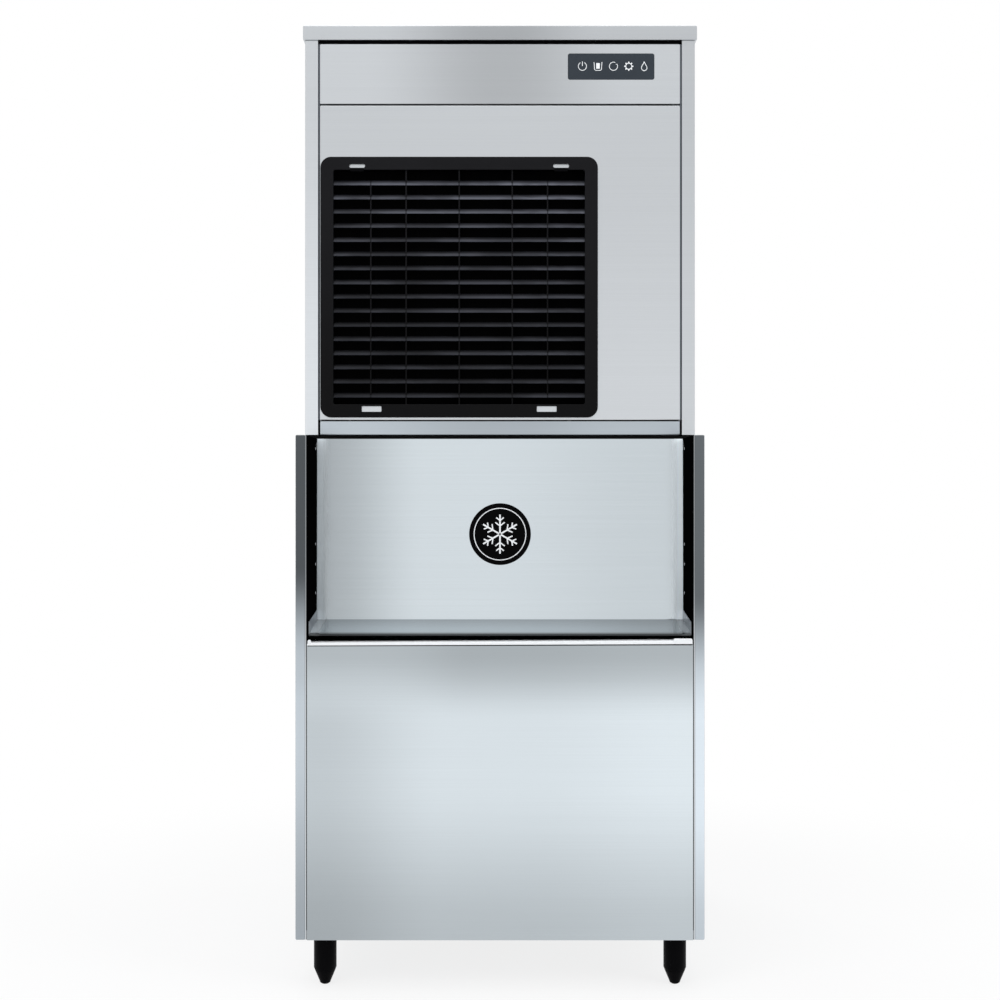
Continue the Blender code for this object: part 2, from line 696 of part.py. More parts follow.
def lid():
    skin = box("lid_skin", (-LID_HALF, FACE, LID_BOTTOM), (LID_HALF, FACE + LID_RETURN, LID_TOP), "stainless")
    shape = bmesh.new()
    shape.from_mesh(skin.data)
    gone = [face for face in shape.faces if face.normal.y > 0.5 or face.normal.z < -0.5]
    bmesh.ops.delete(shape, geom=gone, context="FACES")
    low = min(vert.co.z for vert in shape.verts)
    front = min(vert.co.y for vert in shape.verts)
    rim = [v for v in shape.verts if v.co.z < low + 1e-5 and v.co.y < front + 1e-5]
    edge = next(e for e in shape.edges if all(v in rim for v in e.verts))
    steps = ((0, LIP_TIP_Y - FACE, LIP_TIP_Z - LID_BOTTOM), (0, 0.001, -LIP_HEM), (0, 0.010, 0.0008))
    for step in steps:
        swept = bmesh.ops.extrude_edge_only(shape, edges=[edge])["geom"]
        moved = [item for item in swept if isinstance(item, bmesh.types.BMVert)]
        bmesh.ops.translate(shape, verts=moved, vec=step)
        edge = next(e for e in swept if isinstance(e, bmesh.types.BMEdge) and all(v in moved for v in e.verts))
    shape.to_mesh(skin.data)
    shape.free()
    add_bevel(skin, 0.0018)
    add_wall(skin, SHEET)

    inset = SHEET + CLEAR
    core = box(
        "lid_inner_panel",
        (-LID_HALF + inset, FACE + inset, LID_BOTTOM + 0.003),
        (LID_HALF - inset, FACE + LID_THICK, LID_TOP - PIVOT_DROP - 0.013),
        "white_plastic",
        bevel=0.003,
    )
    inner = around_mouth(0.003)
    outer = around_mouth(0.003 + GASKET_WIDTH)
    gasket_front = FACE + LID_THICK + CLEAR
    gasket = plate("lid_gasket", [outer, inner], "y", gasket_front, THROAT_FRONT - CLEAR, "rubber")
    badge_at = (0, FACE - CLEAR, LID_TOP - BADGE_DROP)
    rim = [(0, BADGE_THICK), (BADGE_RADIUS - 0.001, BADGE_THICK), (BADGE_RADIUS, BADGE_THICK - 0.0006), (BADGE_RADIUS, 0), (0, 0)]
    badge = turned("badge_disc", rim, "badge_black", badge_at, "-y", 48)
    pieces = [skin, core, gasket, badge]
    for side, name in ((-1, "left"), (1, "right")):
        start = LID_HALF - SHEET - 0.012
        shoulder_in = LID_HALF + CLEAR
        shoulder_out = TRIM_IN - CLEAR
        tip = FIT_HALF
        profile = [
            (0, tip - start),
            (PIVOT_RADIUS, tip - start),
            (PIVOT_RADIUS, shoulder_out - start),
            (PIVOT_SHOULDER, shoulder_out - start),
            (PIVOT_SHOULDER, shoulder_in - start),
            (PIVOT_RADIUS, shoulder_in - start),
            (PIVOT_RADIUS, 0),
            (0, 0),
        ]
        pin = turned(f"lid_pivot_{name}", profile, "galvanised", (side * start, PIVOT.y, PIVOT.z), "x", 16)
        if side < 0:
            pin.rotation_euler = (0, -math.pi / 2, 0)
        pieces.append(pin)
    bore = cylinder("pivot_bore", PIVOT_RADIUS + CLEAR, WIDTH, None, (-HALF, PIVOT.y, PIVOT.z), "x", 16)
    combine(skin, bore)
    hang_on("lid_hinge_axis", PIVOT, pieces)


def around_mouth(grow):
    return rectangle(-MOUTH_HALF - grow, MOUTH_LOW - grow, MOUTH_HALF + grow, MOUTH_HIGH + grow, 0.012 + grow)


def head_casing():
    reach = HALF - CLEAR
    outer = rectangle(-reach, DECK_FRONT, reach, HEAD_REAR - 0.005)
    inner = rectangle(
        -reach + HEAD_GASKET_WIDTH, DECK_FRONT + HEAD_GASKET_WIDTH, reach - HEAD_GASKET_WIDTH, HEAD_REAR - HEAD_GASKET_WIDTH
    )
    plate("head_gasket", [outer, inner], "z", BIN_TOP + CLEAR, HEAD_BOTTOM - CLEAR, "rubber")

    half = PANEL_HALF - 0.0013
    section = [(FACE, RAIL_TOP), (FACE, HEAD_BOTTOM), (HEAD_IN_REAR, HEAD_BOTTOM), (HEAD_IN_REAR, RAIL_TOP)]
    base = folded("head_base_pan", section, "x", -half, half, "stainless", side=1)
    combine(base, chute_cutter("base_mouth", HEAD_BOTTOM - 0.01, HEAD_BOTTOM + 0.01))

    for side, name in ((-1, "left"), (1, "right")):
        flange = HALF - FLANGE
        section = [
            (side * (flange - STEP_LIP), STEP_Y),
            (side * flange, STEP_Y),
            (side * flange, HEAD_FRONT),
            (side * HALF, HEAD_FRONT),
            (side * HALF, HEAD_REAR),
            (side * flange, HEAD_REAR),
        ]
        pan = folded(f"head_{name}_side", section, "z", HEAD_BOTTOM, HEAD_TOP, "stainless", side=side)
        low, high = sorted((side * (flange - STEP_LIP - 0.01), side * (flange - SEAM / 4)))
        notch = box(f"{name}_notch", (low, STEP_Y - 0.01, HEAD_BOTTOM - 0.01), (high, STEP_Y + 0.02, RAIL_TOP + SEAM), None)
        combine(pan, notch)

    vents = []
    for column in range(VENT_COLUMNS):
        for row in range(VENT_ROWS):
            x = (column - (VENT_COLUMNS - 1) / 2) * VENT_WIDTH * 1.3
            z = HEAD_TOP - VENT_DROP - row * VENT_PITCH
            vents.append(around(x, z, VENT_WIDTH, VENT_HEIGHT, VENT_HEIGHT * 0.4, 1))
    half = HALF - SHEET - 3 * CLEAR
    outline = rectangle(-half, HEAD_BOTTOM + CLEAR, half, HEAD_TOP)
    ports = [
        circle(TANK.x, FLOOR_Z + INLET_RISE, INLET_RADIUS + CLEAR),
        circle(GLAND_X, FLOOR_Z + INLET_RISE, GLAND_RADIUS + CLEAR),
    ]
    plate("head_rear_panel", [outline, *ports, *vents], "y", REAR_PLATE - SHEET, REAR_PLATE, "galvanised")

    tray(
        "head_top_cover",
        (-HALF - CAP_OVERHANG, HEAD_FRONT - CAP_OVERHANG, HEAD_TOP + CLEAR),
        (HALF + CAP_OVERHANG, HEAD_REAR, HEAD_TOP + CAP_HEIGHT),
        (0, 0, -1),
        "stainless",
        lip=CAP_LIP,
    )
    back = FACE + PANEL_DEPTH
    fascia = tray("fascia_panel", (-PANEL_HALF, FACE, FASCIA_LOW), (PANEL_HALF, back, FASCIA_TOP), (0, 1, 0), "stainless")
    window = around(WINDOW_X, WINDOW_Z, WINDOW_WIDTH + 2 * CLEAR, WINDOW_HEIGHT + 2 * CLEAR, 0.004)
    combine(fascia, plate("window_cut", [window], "y", FACE - 0.01, FACE + 0.01, None))
    panel = tray("head_front_panel", (-PANEL_HALF, FACE, PANEL_LOW), (PANEL_HALF, back, PANEL_TOP), (0, 1, 0), "stainless")
    grow = COLLAR_WALL + 2 * CLEAR
    hole = rectangle(OPENING[0] - grow, OPENING[1] - grow, OPENING[2] + grow, OPENING[3] + grow, OPENING_CORNER + grow)
    combine(panel, plate("grille_cut", [hole], "y", FACE - 0.01, FACE + 0.01, None))


def control_window():
    front = FACE + CLEAR
    film = around(WINDOW_X, WINDOW_Z, WINDOW_WIDTH, WINDOW_HEIGHT, 0.004)
    unit = plate("control_window", [film], "y", front, front + WINDOW_THICK, "control_film")
    start = front + WINDOW_THICK - 0.001
    reach = Vector((WINDOW_WIDTH / 2 - 0.010, 0, WINDOW_HEIGHT / 2 - 0.004))
    middle = Vector((WINDOW_X, 0, WINDOW_Z))
    low, high = middle - reach, middle + reach
    housing = box("control_housing", (low.x, start, low.z), (high.x, start + MODULE_DEPTH, high.z), None)
    combine(unit, housing, "UNION")


def air_grille():
    middle = (OPENING[0] + OPENING[2]) / 2
    centre = (GRILLE[0] + GRILLE[2]) / 2
    slots = []
    wide = GRILLE[2] - GRILLE[0]
    for side in (-1, 1):
        upper = centre + side * TOP_SLOT_SHARE * wide
        lower = centre + side * BOTTOM_SLOT_SHARE * wide
        slots.append(around(upper, GRILLE[3] - TOP_SLOT_DROP, *TOP_SLOT, 0.0035, 2))
        slots.append(around(lower, GRILLE[1] + BOTTOM_SLOT_RISE, *BOTTOM_SLOT, 0.0015, 2))
    inner = rectangle(*OPENING, OPENING_CORNER)
    front = FACE - CLEAR - GRILLE_PROUD
    grille = plate(
        "air_grille", [rectangle(*GRILLE, GRILLE_CORNER, 5), inner, *slots], "y", front, FACE - CLEAR, "black_plastic"
    )
    slip = 0.0002
    bore = rectangle(OPENING[0] - slip, OPENING[1] - slip, OPENING[2] + slip, OPENING[3] + slip, OPENING_CORNER)
    wall = COLLAR_WALL
    skirt = rectangle(OPENING[0] - wall, OPENING[1] - wall, OPENING[2] + wall, OPENING[3] + wall, OPENING_CORNER + wall)
    combine(grille, plate("grille_collar", [skirt, bore], "y", front + 0.002, COLLAR_REAR, None), "UNION", "MANIFOLD")

    height = OPENING[3] - OPENING[1]
    count = 1 + int((height - SLAT_TOP - SLAT_BOTTOM) / SLAT_PITCH)
    y = front + 0.0026 + SLAT_CHORD / 2 * math.cos(SLAT_TILT)
    first = OPENING[3] - SLAT_TOP
    half, thick = SLAT_CHORD / 2, SLAT_THICK / 2
    blunt = [(-half, -thick / 2), (-half + thick, -thick), (half - thick, -thick), (half, -thick / 2)]
    blade = blunt + [(u, -v) for u, v in reversed(blunt)]
    cos, sin = math.cos(SLAT_TILT), math.sin(SLAT_TILT)
    section = [(y + u * cos - v * sin, first + u * sin + v * cos) for u, v in blade]
    grip = COLLAR_WALL / 2
    slats = plate("grille_slats", [section], "x", OPENING[0] - grip, OPENING[2] + grip, None)
    repeat(slats, count, (0, -SLAT_PITCH, 0))
    combine(grille, slats, "UNION", "MANIFOLD")

    bar_front = front + 0.0045
    last = first - (count - 1) * SLAT_PITCH
    inner_step = BAR_SHARE * (OPENING[2] - OPENING[0])
    outer_step = OUTER_BAR_SHARE * (OPENING[2] - OPENING[0])
    for name, offset, copies, step, low, high in (
        ("inner_bars", -inner_step, 3, inner_step, OPENING[1] - grip, OPENING[3] + grip),
        ("outer_bars", -outer_step, 2, 2 * outer_step, last, first),
    ):
        x = middle + offset
        bar = plate(name, [rectangle(x - BAR_WIDTH / 2, low, x + BAR_WIDTH / 2, high)], "y", bar_front, bar_front + BAR_DEPTH, None)
        repeat(bar, copies, (step, 0, 0))
        combine(grille, bar, "UNION", "MANIFOLD")


def repeat(obj, count, step):
    array = obj.modifiers.new("Repeat", "ARRAY")
    array.count = count
    array.use_relative_offset = False
    array.use_constant_offset = True
    array.constant_offset_displace = step


def air_filter():
    grow = COLLAR_WALL + 0.005
    outer = (OPENING[0] - grow, OPENING[1] - grow, OPENING[2] + grow, OPENING[3] + grow)
    columns = max(2, round((OPENING[2] - OPENING[0]) / FILTER_CELL))
    rows = max(2, round((OPENING[3] - OPENING[1]) / FILTER_CELL))
    wide = (OPENING[2] - OPENING[0]) / columns
    tall = (OPENING[3] - OPENING[1]) / rows
    cells = []
    for column in range(columns):
        for row in range(rows):
            x, z = OPENING[0] + (column + 0.5) * wide, OPENING[1] + (row + 0.5) * tall
            cells.append(around(x, z, wide - FILTER_RIB, tall - FILTER_RIB))
    plate("air_filter", [rectangle(*outer), *cells], "y", FILTER_FRONT, FILTER_FRONT + FILTER_THICK, "black_plastic")


def condenser():
    x0, x1 = CONDENSER_X
    middle = (CONDENSER_FRONT + CONDENSER_REAR) / 2
    count = int((x1 - x0 - FIN_THICK) / FIN_PITCH)
    pitch = (x1 - x0 - FIN_THICK) / count
    comb = []
    for edge, web, order in ((CONDENSER_FRONT, middle - FIN_WEB / 2, 1), (CONDENSER_REAR, middle + FIN_WEB / 2, -1)):
        row = []
        for fin in range(count + 1):
            start = x0 + fin * pitch
            row += [(start, web), (start, edge), (start + FIN_THICK, edge), (start + FIN_THICK, web)]
        comb += row[1:-1][::order]
    fins = plate("condenser", [comb], "z", *CONDENSER_Z, "aluminium")
    for name, start in (("left_end", x0 - 0.001), ("right_end", x1 - 0.005)):
        low = (start, CONDENSER_FRONT - 0.001, FLOOR_Z)
        high = (start + 0.006, CONDENSER_REAR, CONDENSER_Z[1] + 0.008)
        combine(fins, box(f"condenser_{name}", low, high, None), "UNION", "MANIFOLD")


def fan_unit():
    x0, x1 = CONDENSER_X
    ring = FAN_RADIUS + FAN_TIP_GAP
    outline = rectangle(x0, FLOOR_Z, x1, CONDENSER_Z[1])
    hole = circle(FAN_X, FAN_Z, ring, 32)
    shroud = plate("fan_shroud", [outline, hole], "y", CONDENSER_REAR + CLEAR, SHROUD_REAR, "galvanised")
    wall = [(ring + 0.003, FAN_DEPTH), (ring + 0.003, 0), (ring, 0), (ring, FAN_DEPTH)]
    collar = turned("shroud_ring", wall, None, (FAN_X, SHROUD_REAR - 0.001, FAN_Z), "y", 32)
    combine(shroud, collar, "UNION")

    at = (FAN_X, MOTOR_FRONT, FAN_Z)
    shaft = FAN_DEPTH * 0.4 + MOTOR_GAP
    profile = [
        (0, MOTOR_LENGTH),
        (MOTOR_RADIUS * 0.8, MOTOR_LENGTH),
        (MOTOR_RADIUS, MOTOR_LENGTH * 0.85),
        (MOTOR_RADIUS, MOTOR_LENGTH * 0.1),
        (MOTOR_RADIUS * 0.85, 0),
        (0.005, 0),
        (0.005, -shaft),
        (0, -shaft),
    ]
    motor = turned("fan_motor", profile, "black_enamel", at, "y", 20)
    reach = BRACKET_SPAN / 2
    bridge = MOTOR_FRONT + MOTOR_LENGTH / 2
    start = SHROUD_REAR + CLEAR
    section = [(FAN_X - reach, start), (FAN_X - reach, bridge), (FAN_X + reach, bridge), (FAN_X + reach, start)]
    strap = folded("motor_strap", section, "z", FAN_Z - 0.012, FAN_Z + 0.012, None, side=1, sheet=0.003)
    combine(motor, strap, "UNION")
    fan(FAN_X, FAN_Y, FAN_Z)


def fan(x, y, z):
    hub = 0.032
    bore = 0.005 + CLEAR
    half = FAN_DEPTH * 0.4
    profile = [(hub, half), (hub, -half), (bore, -half), (bore, half)]
    rotor = turned("fan", profile, "black_plastic", (x, y, z), "y", 20)
    shape = bmesh.new()
    bmesh.ops.create_grid(shape, x_segments=3, y_segments=4, size=0.5)
    for vert in shape.verts:
        across, out = vert.co.x, vert.co.y + 0.5
        radius = hub - 0.004 + out * (FAN_RADIUS - hub + 0.004)
        sweep = across * (0.9 - 0.15 * out) + 0.25 * out
        rise = -across * FAN_DEPTH * (0.75 - 0.2 * out)
        vert.co = (radius * math.cos(sweep), radius * math.sin(sweep), rise)
    first = list(shape.verts) + list(shape.edges) + list(shape.faces)
    for blade in range(1, FAN_BLADES):
        made = bmesh.ops.duplicate(shape, geom=first)["geom"]
        verts = [item for item in made if isinstance(item, bmesh.types.BMVert)]
        bmesh.ops.rotate(shape, verts=verts, matrix=Matrix.Rotation(2 * math.pi * blade / FAN_BLADES, 3, "Z"))
    blades = make("fan_blades", mesh_from(shape, "fan_blades"), None)
    blades.rotation_euler = AXIS_TURN["y"]
    blades.location = (x, y, z)
    add_wall(blades, 0.002, 0)
    combine(rotor, blades, "UNION")


def compressor():
    x, y, z = COMPRESSOR_AT
    reach = COMPRESSOR_PLATE
    mounts = [(side_x * (reach - MOUNT_INSET), side_y * (reach - MOUNT_INSET)) for side_x in (-1, 1) for side_y in (-1, 1)]
    holes = [circle(x + mx, y + my, MOUNT_RADIUS * 0.5 + CLEAR, 12) for mx, my in mounts]
    outline = around(x, y, 2 * reach, 2 * reach, 0.020)
    body = plate("compressor", [outline, *holes], "z", z, z + PLATE_THICK, "black_enamel")
    top = COMPRESSOR_HEIGHT
    r = COMPRESSOR_RADIUS
    profile = [
        (0, top), (r * 0.5, top - 0.006), (r * 0.85, top - 0.026), (r * 0.97, top - 0.055),
        (r * 0.97, top * 0.52), (r, top * 0.50), (r, top * 0.46), (r * 0.97, top * 0.44),
        (r * 0.97, 0.020), (r * 0.85, 0.002), (0, 0.002),
    ]
    combine(body, turned("compressor_can", profile, None, (x, y, z), "z", 20), "UNION")
    for number, (mx, my) in enumerate(mounts, 1):
        neck = MOUNT_RADIUS * 0.5
        rubber = [
            (0, MOUNT_HEIGHT + PLATE_THICK + 0.003),
            (neck, MOUNT_HEIGHT + PLATE_THICK + 0.003),
            (neck, MOUNT_HEIGHT),
            (MOUNT_RADIUS, MOUNT_HEIGHT),
            (MOUNT_RADIUS, 0),
            (0, 0),
        ]
        turned(f"compressor_mount_{number}", rubber, "rubber", (x + mx, y + my, FLOOR_Z), "z", 12)


def coil_crest(ring):
    """Height of a turn of the barrel's wound coil above the barrel's foot."""
    return BARREL_HEIGHT - BARREL_FLANGE_THICK - (ring + 0.5) * COIL_PITCH


def refrigerant_lines():
    x, y, _ = COMPRESSOR_AT
    height = FLOOR_Z + LINE_RISE
    side = COMPRESSOR_RADIUS + CLEAR
    middle = (CONDENSER_FRONT + CONDENSER_REAR) / 2
    outer = -HALF + LINE_RADIUS + LINE_WALL_GAP
    route = [(x - side, y, height), (outer, y, height), (outer, middle, height), (CONDENSER_X[0] - 0.001 - CLEAR, middle, height)]
    pipe("discharge_line", route, LINE_RADIUS, "copper", LINE_BEND)
    upper = BARREL_LOW + coil_crest(LINE_ON_TURN)
    rear = EVAPORATOR.y + BARREL_RADIUS + COIL_BULGE + CLEAR
    across = x + side + LINE_SPACING
    route = [(EVAPORATOR.x, rear, upper), (EVAPORATOR.x, y, upper), (across, y, upper), (across, y, height), (x + side, y, height)]
    pipe("suction_line", route, LINE_RADIUS, "copper", LINE_BEND)


def ice_maker():
    x, y, z = EVAPORATOR
    socket = SHAFT_RADIUS + CLEAR
    top = GEARBOX_HEIGHT
    r = GEARBOX_RADIUS
    profile = [
        (r * 0.95, top),
        (r * 0.95, top * 0.90),
        (r * 0.80, top * 0.85),
        (r * 0.80, top * 0.50),
        (r, top * 0.42),
        (r, 0),
        (0, 0),
        (0, top - SHAFT_SOCKET - 0.002),
        (socket, top - SHAFT_SOCKET - 0.002),
        (socket, top),
    ]
    gear = turned("gear_motor", profile, "galvanised", (x, y, z), "z", 20)
    drive = cylinder("drive_can", DRIVE_RADIUS, DRIVE_LENGTH, None, (x, y + r * 0.6, z + DRIVE_RISE), "y", 16)
    combine(gear, drive, "UNION")

    outer = [(BARREL_FLANGE, BARREL_HEIGHT), (BARREL_FLANGE, BARREL_HEIGHT - BARREL_FLANGE_THICK)]
    for ring in range(COIL_TURNS):
        crest = coil_crest(ring)
        outer.append((BARREL_RADIUS, crest + COIL_PITCH * 0.45))
        outer.append((BARREL_RADIUS + COIL_BULGE, crest + COIL_PITCH * 0.2))
        outer.append((BARREL_RADIUS + COIL_BULGE, crest - COIL_PITCH * 0.2))
        outer.append((BARREL_RADIUS, crest - COIL_PITCH * 0.45))
    outer += [(BARREL_FLANGE, BARREL_FLANGE_THICK), (BARREL_FLANGE, 0), (BORE, 0), (BORE, BARREL_HEIGHT)]
    turned("evaporator_barrel", outer, "stainless", (x, y, BARREL_LOW), "z", 16)

    flight = BORE - AUGER_GAP
    length = BARREL_HEIGHT - 0.010
    core = [
        (0, length),
        (AUGER_CORE, length),
        (AUGER_CORE, 0.004),
        (SHAFT_RADIUS, 0.002),
        (SHAFT_RADIUS, -SHAFT_SOCKET + 0.001),
        (0, -SHAFT_SOCKET + 0.001),
    ]
    auger = turned("auger", core, "stainless", (x, y, BARREL_LOW), "z", 12)
    shape = bmesh.new()
    inside = AUGER_CORE * 0.8
    ring = [(flight, FLIGHT_THICK), (flight, 0), (inside, 0), (inside, FLIGHT_THICK)]
    points = [shape.verts.new((radius, 0, 0.010 + height)) for radius, height in ring]
    for index, point in enumerate(points):
        shape.edges.new((point, points[(index + 1) % 4]))
    per_turn = 12
    rise = (length - 0.020 - FLIGHT_THICK) / AUGER_TURNS
    bmesh.ops.spin(
        shape,
        geom=list(shape.verts) + list(shape.edges),
        angle=2 * math.pi * AUGER_TURNS,
        steps=per_turn * AUGER_TURNS,
        axis=(0, 0, 1),
        dvec=(0, 0, rise / per_turn),
    )
    bmesh.ops.holes_fill(shape, edges=[edge for edge in shape.edges if edge.is_boundary], sides=4)
    bmesh.ops.recalc_face_normals(shape, faces=shape.faces)
    helix = make("auger_flight", mesh_from(shape, "auger_flight"), None)
    helix.location = (x, y, BARREL_LOW)
    combine(auger, helix, "UNION", "MANIFOLD")

    r, wall, tall = BREAKER_RADIUS, BREAKER_WALL, BREAKER_HEIGHT
    cup = [(0, tall), (r * 0.9, tall), (r, tall - 0.006), (r, 0), (r - wall, 0), (r - wall, tall - wall - 0.004), (0, tall - wall)]
    breaker = turned("ice_breaker", cup, "stainless", (x, y, BREAKER_LOW), "z", 20)
    half = SPOUT_WIDTH / 2
    low, high = BREAKER_LOW + 0.012, BREAKER_TOP - 0.018
    spout = box("spout_cut", (x - half, CHUTE_BACK - CHUTE_WALL - 0.004, low), (x + half, y - r * 0.5, high), None)
    combine(breaker, spout)
    chute = tray(
        "ice_chute",
        (x - CHUTE_WIDTH / 2, CHUTE_FRONT, CHUTE_LOW),
        (x + CHUTE_WIDTH / 2, CHUTE_BACK, BREAKER_TOP),
        (0, 0, -1),
        "white_plastic",
        sheet=CHUTE_WALL,
        bend=0.004,
    )
    combine(chute, spout)


def water_parts():
    x, y, z = TANK
    half_x, half_y = TANK_WIDTH / 2, TANK_DEPTH / 2
    tank = tray(
        "water_reservoir",
        (x - half_x, y - half_y, z),
        (x + half_x, y + half_y, z + TANK_HEIGHT),
        (0, 0, 1),
        "white_plastic",
        sheet=TANK_WALL,
        bend=0.005,
    )
    arm_end = EVAPORATOR.x - BARREL_FLANGE - CLEAR
    thick = BARREL_FLANGE_THICK - 0.002
    low = (x + half_x - TANK_WALL / 2, y - 0.015, BARREL_TOP - thick - 0.001)
    combine(tank, box("tank_arm", low, (arm_end, y + 0.015, BARREL_TOP - 0.001), None), "UNION")

    pivot = Vector((x, y + half_y - TANK_WALL - 0.006 - CLEAR, z + TANK_HEIGHT - FLOAT_DROP))
    barrel = cylinder("float_arm", 0.006, 0.030, "grey_plastic", pivot - Vector((0.015, 0, 0)), "x", 16)
    arm = box("float_lever", pivot + Vector((-0.004, -FLOAT_REACH, -0.003)), pivot + Vector((0.004, 0, 0.003)), None)
    ball_at = pivot + Vector((0, -FLOAT_REACH, -FLOAT_HEIGHT - 0.001))
    ball = cylinder("float_ball", FLOAT_RADIUS, FLOAT_HEIGHT, None, ball_at, "z", 16)
    combine(barrel, arm, "UNION")
    combine(barrel, ball, "UNION")

    inlet_z = FLOOR_Z + INLET_RISE
    inner = HEAD_IN_REAR
    start = inner - 0.028
    end = HEAD_REAR + HEAD_REAR_GAP - 0.0005
    profile = [
        (0, end - start),
        (INLET_RADIUS, end - start),
        (INLET_RADIUS, inner - start),
        (INLET_RADIUS + 0.005, inner - start),
        (INLET_RADIUS + 0.005, inner - start - 0.008),
        (HOSE_RADIUS, inner - start - 0.008),
        (HOSE_RADIUS, 0),
        (0, 0),
    ]
    turned("water_inlet", profile, "brass", (x, start, inlet_z), "y", 16)
    back = start - HOSE_OUT
    upper = z + TANK_HEIGHT * 0.6
    route = [(x, start - CLEAR, inlet_z), (x, back, inlet_z), (x, back, upper), (x, y + half_y + CLEAR, upper)]
    pipe("water_hose", route, HOSE_RADIUS, "grey_plastic", 0.024)
    low = BARREL_LOW + FEED_RISE
    route = [(x, y, z - CLEAR), (x, y, low), (EVAPORATOR.x - BARREL_RADIUS - COIL_BULGE - CLEAR, y, low)]
    pipe("feed_hose", route, HOSE_RADIUS, "grey_plastic", 0.024)


def electrics():
    outer = HALF - SHEET - CLEAR
    rear = HEAD_REAR - BOX_REAR
    low = (outer - BOX_THICK, rear - BOX_LENGTH, FLOOR_Z + BOX_RISE)
    box("electrical_box", low, (outer, rear, FLOOR_Z + BOX_RISE + BOX_HEIGHT), "galvanised", bevel=0.002)
    inner = HEAD_IN_REAR
    start = inner - 0.012
    r = GLAND_RADIUS
    end = HEAD_REAR + 0.012
    profile = [
        (r * 0.8, end - start),
        (r, end - start - 0.006),
        (r, inner - start),
        (r + 0.004, inner - start),
        (r + 0.004, 0),
        (r * 0.45, 0),
        (r * 0.45, end - start),
    ]
    turned("cable_gland", profile, "black_plastic", (GLAND_X, start, FLOOR_Z + INLET_RISE), "y", 16)


def smooth_round_pieces():
    for obj in bpy.data.collections[PARTS].objects:
        if obj.type == "MESH":
            obj.data.shade_smooth()
            obj.data.set_sharp_from_angle(angle=math.radians(35))


def main():
    clear_scene()
    bin_sides()
    bin_shell()
    bin_inside()
    legs_and_feet()
    lid()
    head_casing()
    control_window()
    air_grille()
    air_filter()
    condenser()
    fan_unit()
    compressor()
    refrigerant_lines()
    ice_maker()
    water_parts()
    electrics()
    smooth_round_pieces()


main()
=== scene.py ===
"""Looks of a granular ice machine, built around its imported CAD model.

Metres, +Z up. The front faces -Y, and the origin lies on the floor under the middle of the bin.
"""

from __future__ import annotations

import json
import logging
import math
from collections.abc import Iterable, Iterator, Sequence
from dataclasses import dataclass, field, replace
from enum import Enum
from typing import ClassVar, TypeVar

import bmesh
import bpy
from mathutils import Matrix, Vector

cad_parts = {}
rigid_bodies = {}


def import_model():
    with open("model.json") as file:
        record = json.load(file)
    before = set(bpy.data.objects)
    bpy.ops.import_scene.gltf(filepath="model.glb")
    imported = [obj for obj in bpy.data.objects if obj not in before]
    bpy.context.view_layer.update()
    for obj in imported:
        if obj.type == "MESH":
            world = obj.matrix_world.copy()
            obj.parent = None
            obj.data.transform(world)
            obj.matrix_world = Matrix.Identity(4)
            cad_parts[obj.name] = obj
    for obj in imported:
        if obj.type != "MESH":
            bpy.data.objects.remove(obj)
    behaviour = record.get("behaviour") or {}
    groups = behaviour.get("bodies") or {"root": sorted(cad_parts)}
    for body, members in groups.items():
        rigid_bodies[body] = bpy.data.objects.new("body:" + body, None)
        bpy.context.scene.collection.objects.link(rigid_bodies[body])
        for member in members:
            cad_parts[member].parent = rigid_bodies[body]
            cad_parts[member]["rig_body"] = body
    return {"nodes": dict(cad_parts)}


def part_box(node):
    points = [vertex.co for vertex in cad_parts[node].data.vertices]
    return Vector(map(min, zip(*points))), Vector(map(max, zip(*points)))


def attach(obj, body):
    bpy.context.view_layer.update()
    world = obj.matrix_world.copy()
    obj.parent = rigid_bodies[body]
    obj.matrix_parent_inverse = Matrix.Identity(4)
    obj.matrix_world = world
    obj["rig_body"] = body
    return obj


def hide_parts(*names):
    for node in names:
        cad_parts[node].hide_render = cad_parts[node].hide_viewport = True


LOG = logging.getLogger("ice_machine")

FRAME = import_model()
NODES: dict[str, bpy.types.Object] = FRAME["nodes"]
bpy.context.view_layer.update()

# Edges sharper than these, in degrees, stay sharp
SOFT_ANGLE = 35.0
PLATE_ANGLE = 40.0
PIPE_ANGLE = 60.0
SCREW_ANGLE = 30.0

# Faces of a rounded copy that meet at less than this, in degrees, become one
FLAT_ANGLE = 0.6

# Vertices nearer than these, in metres, are merged
MERGE = 1e-6
NODE_MERGE = 2e-5

Point2 = tuple[float, float]
Point3 = tuple[float, float, float]
Colour = tuple[float, float, float]
Item = TypeVar("Item")


# Shader and geometry graphs


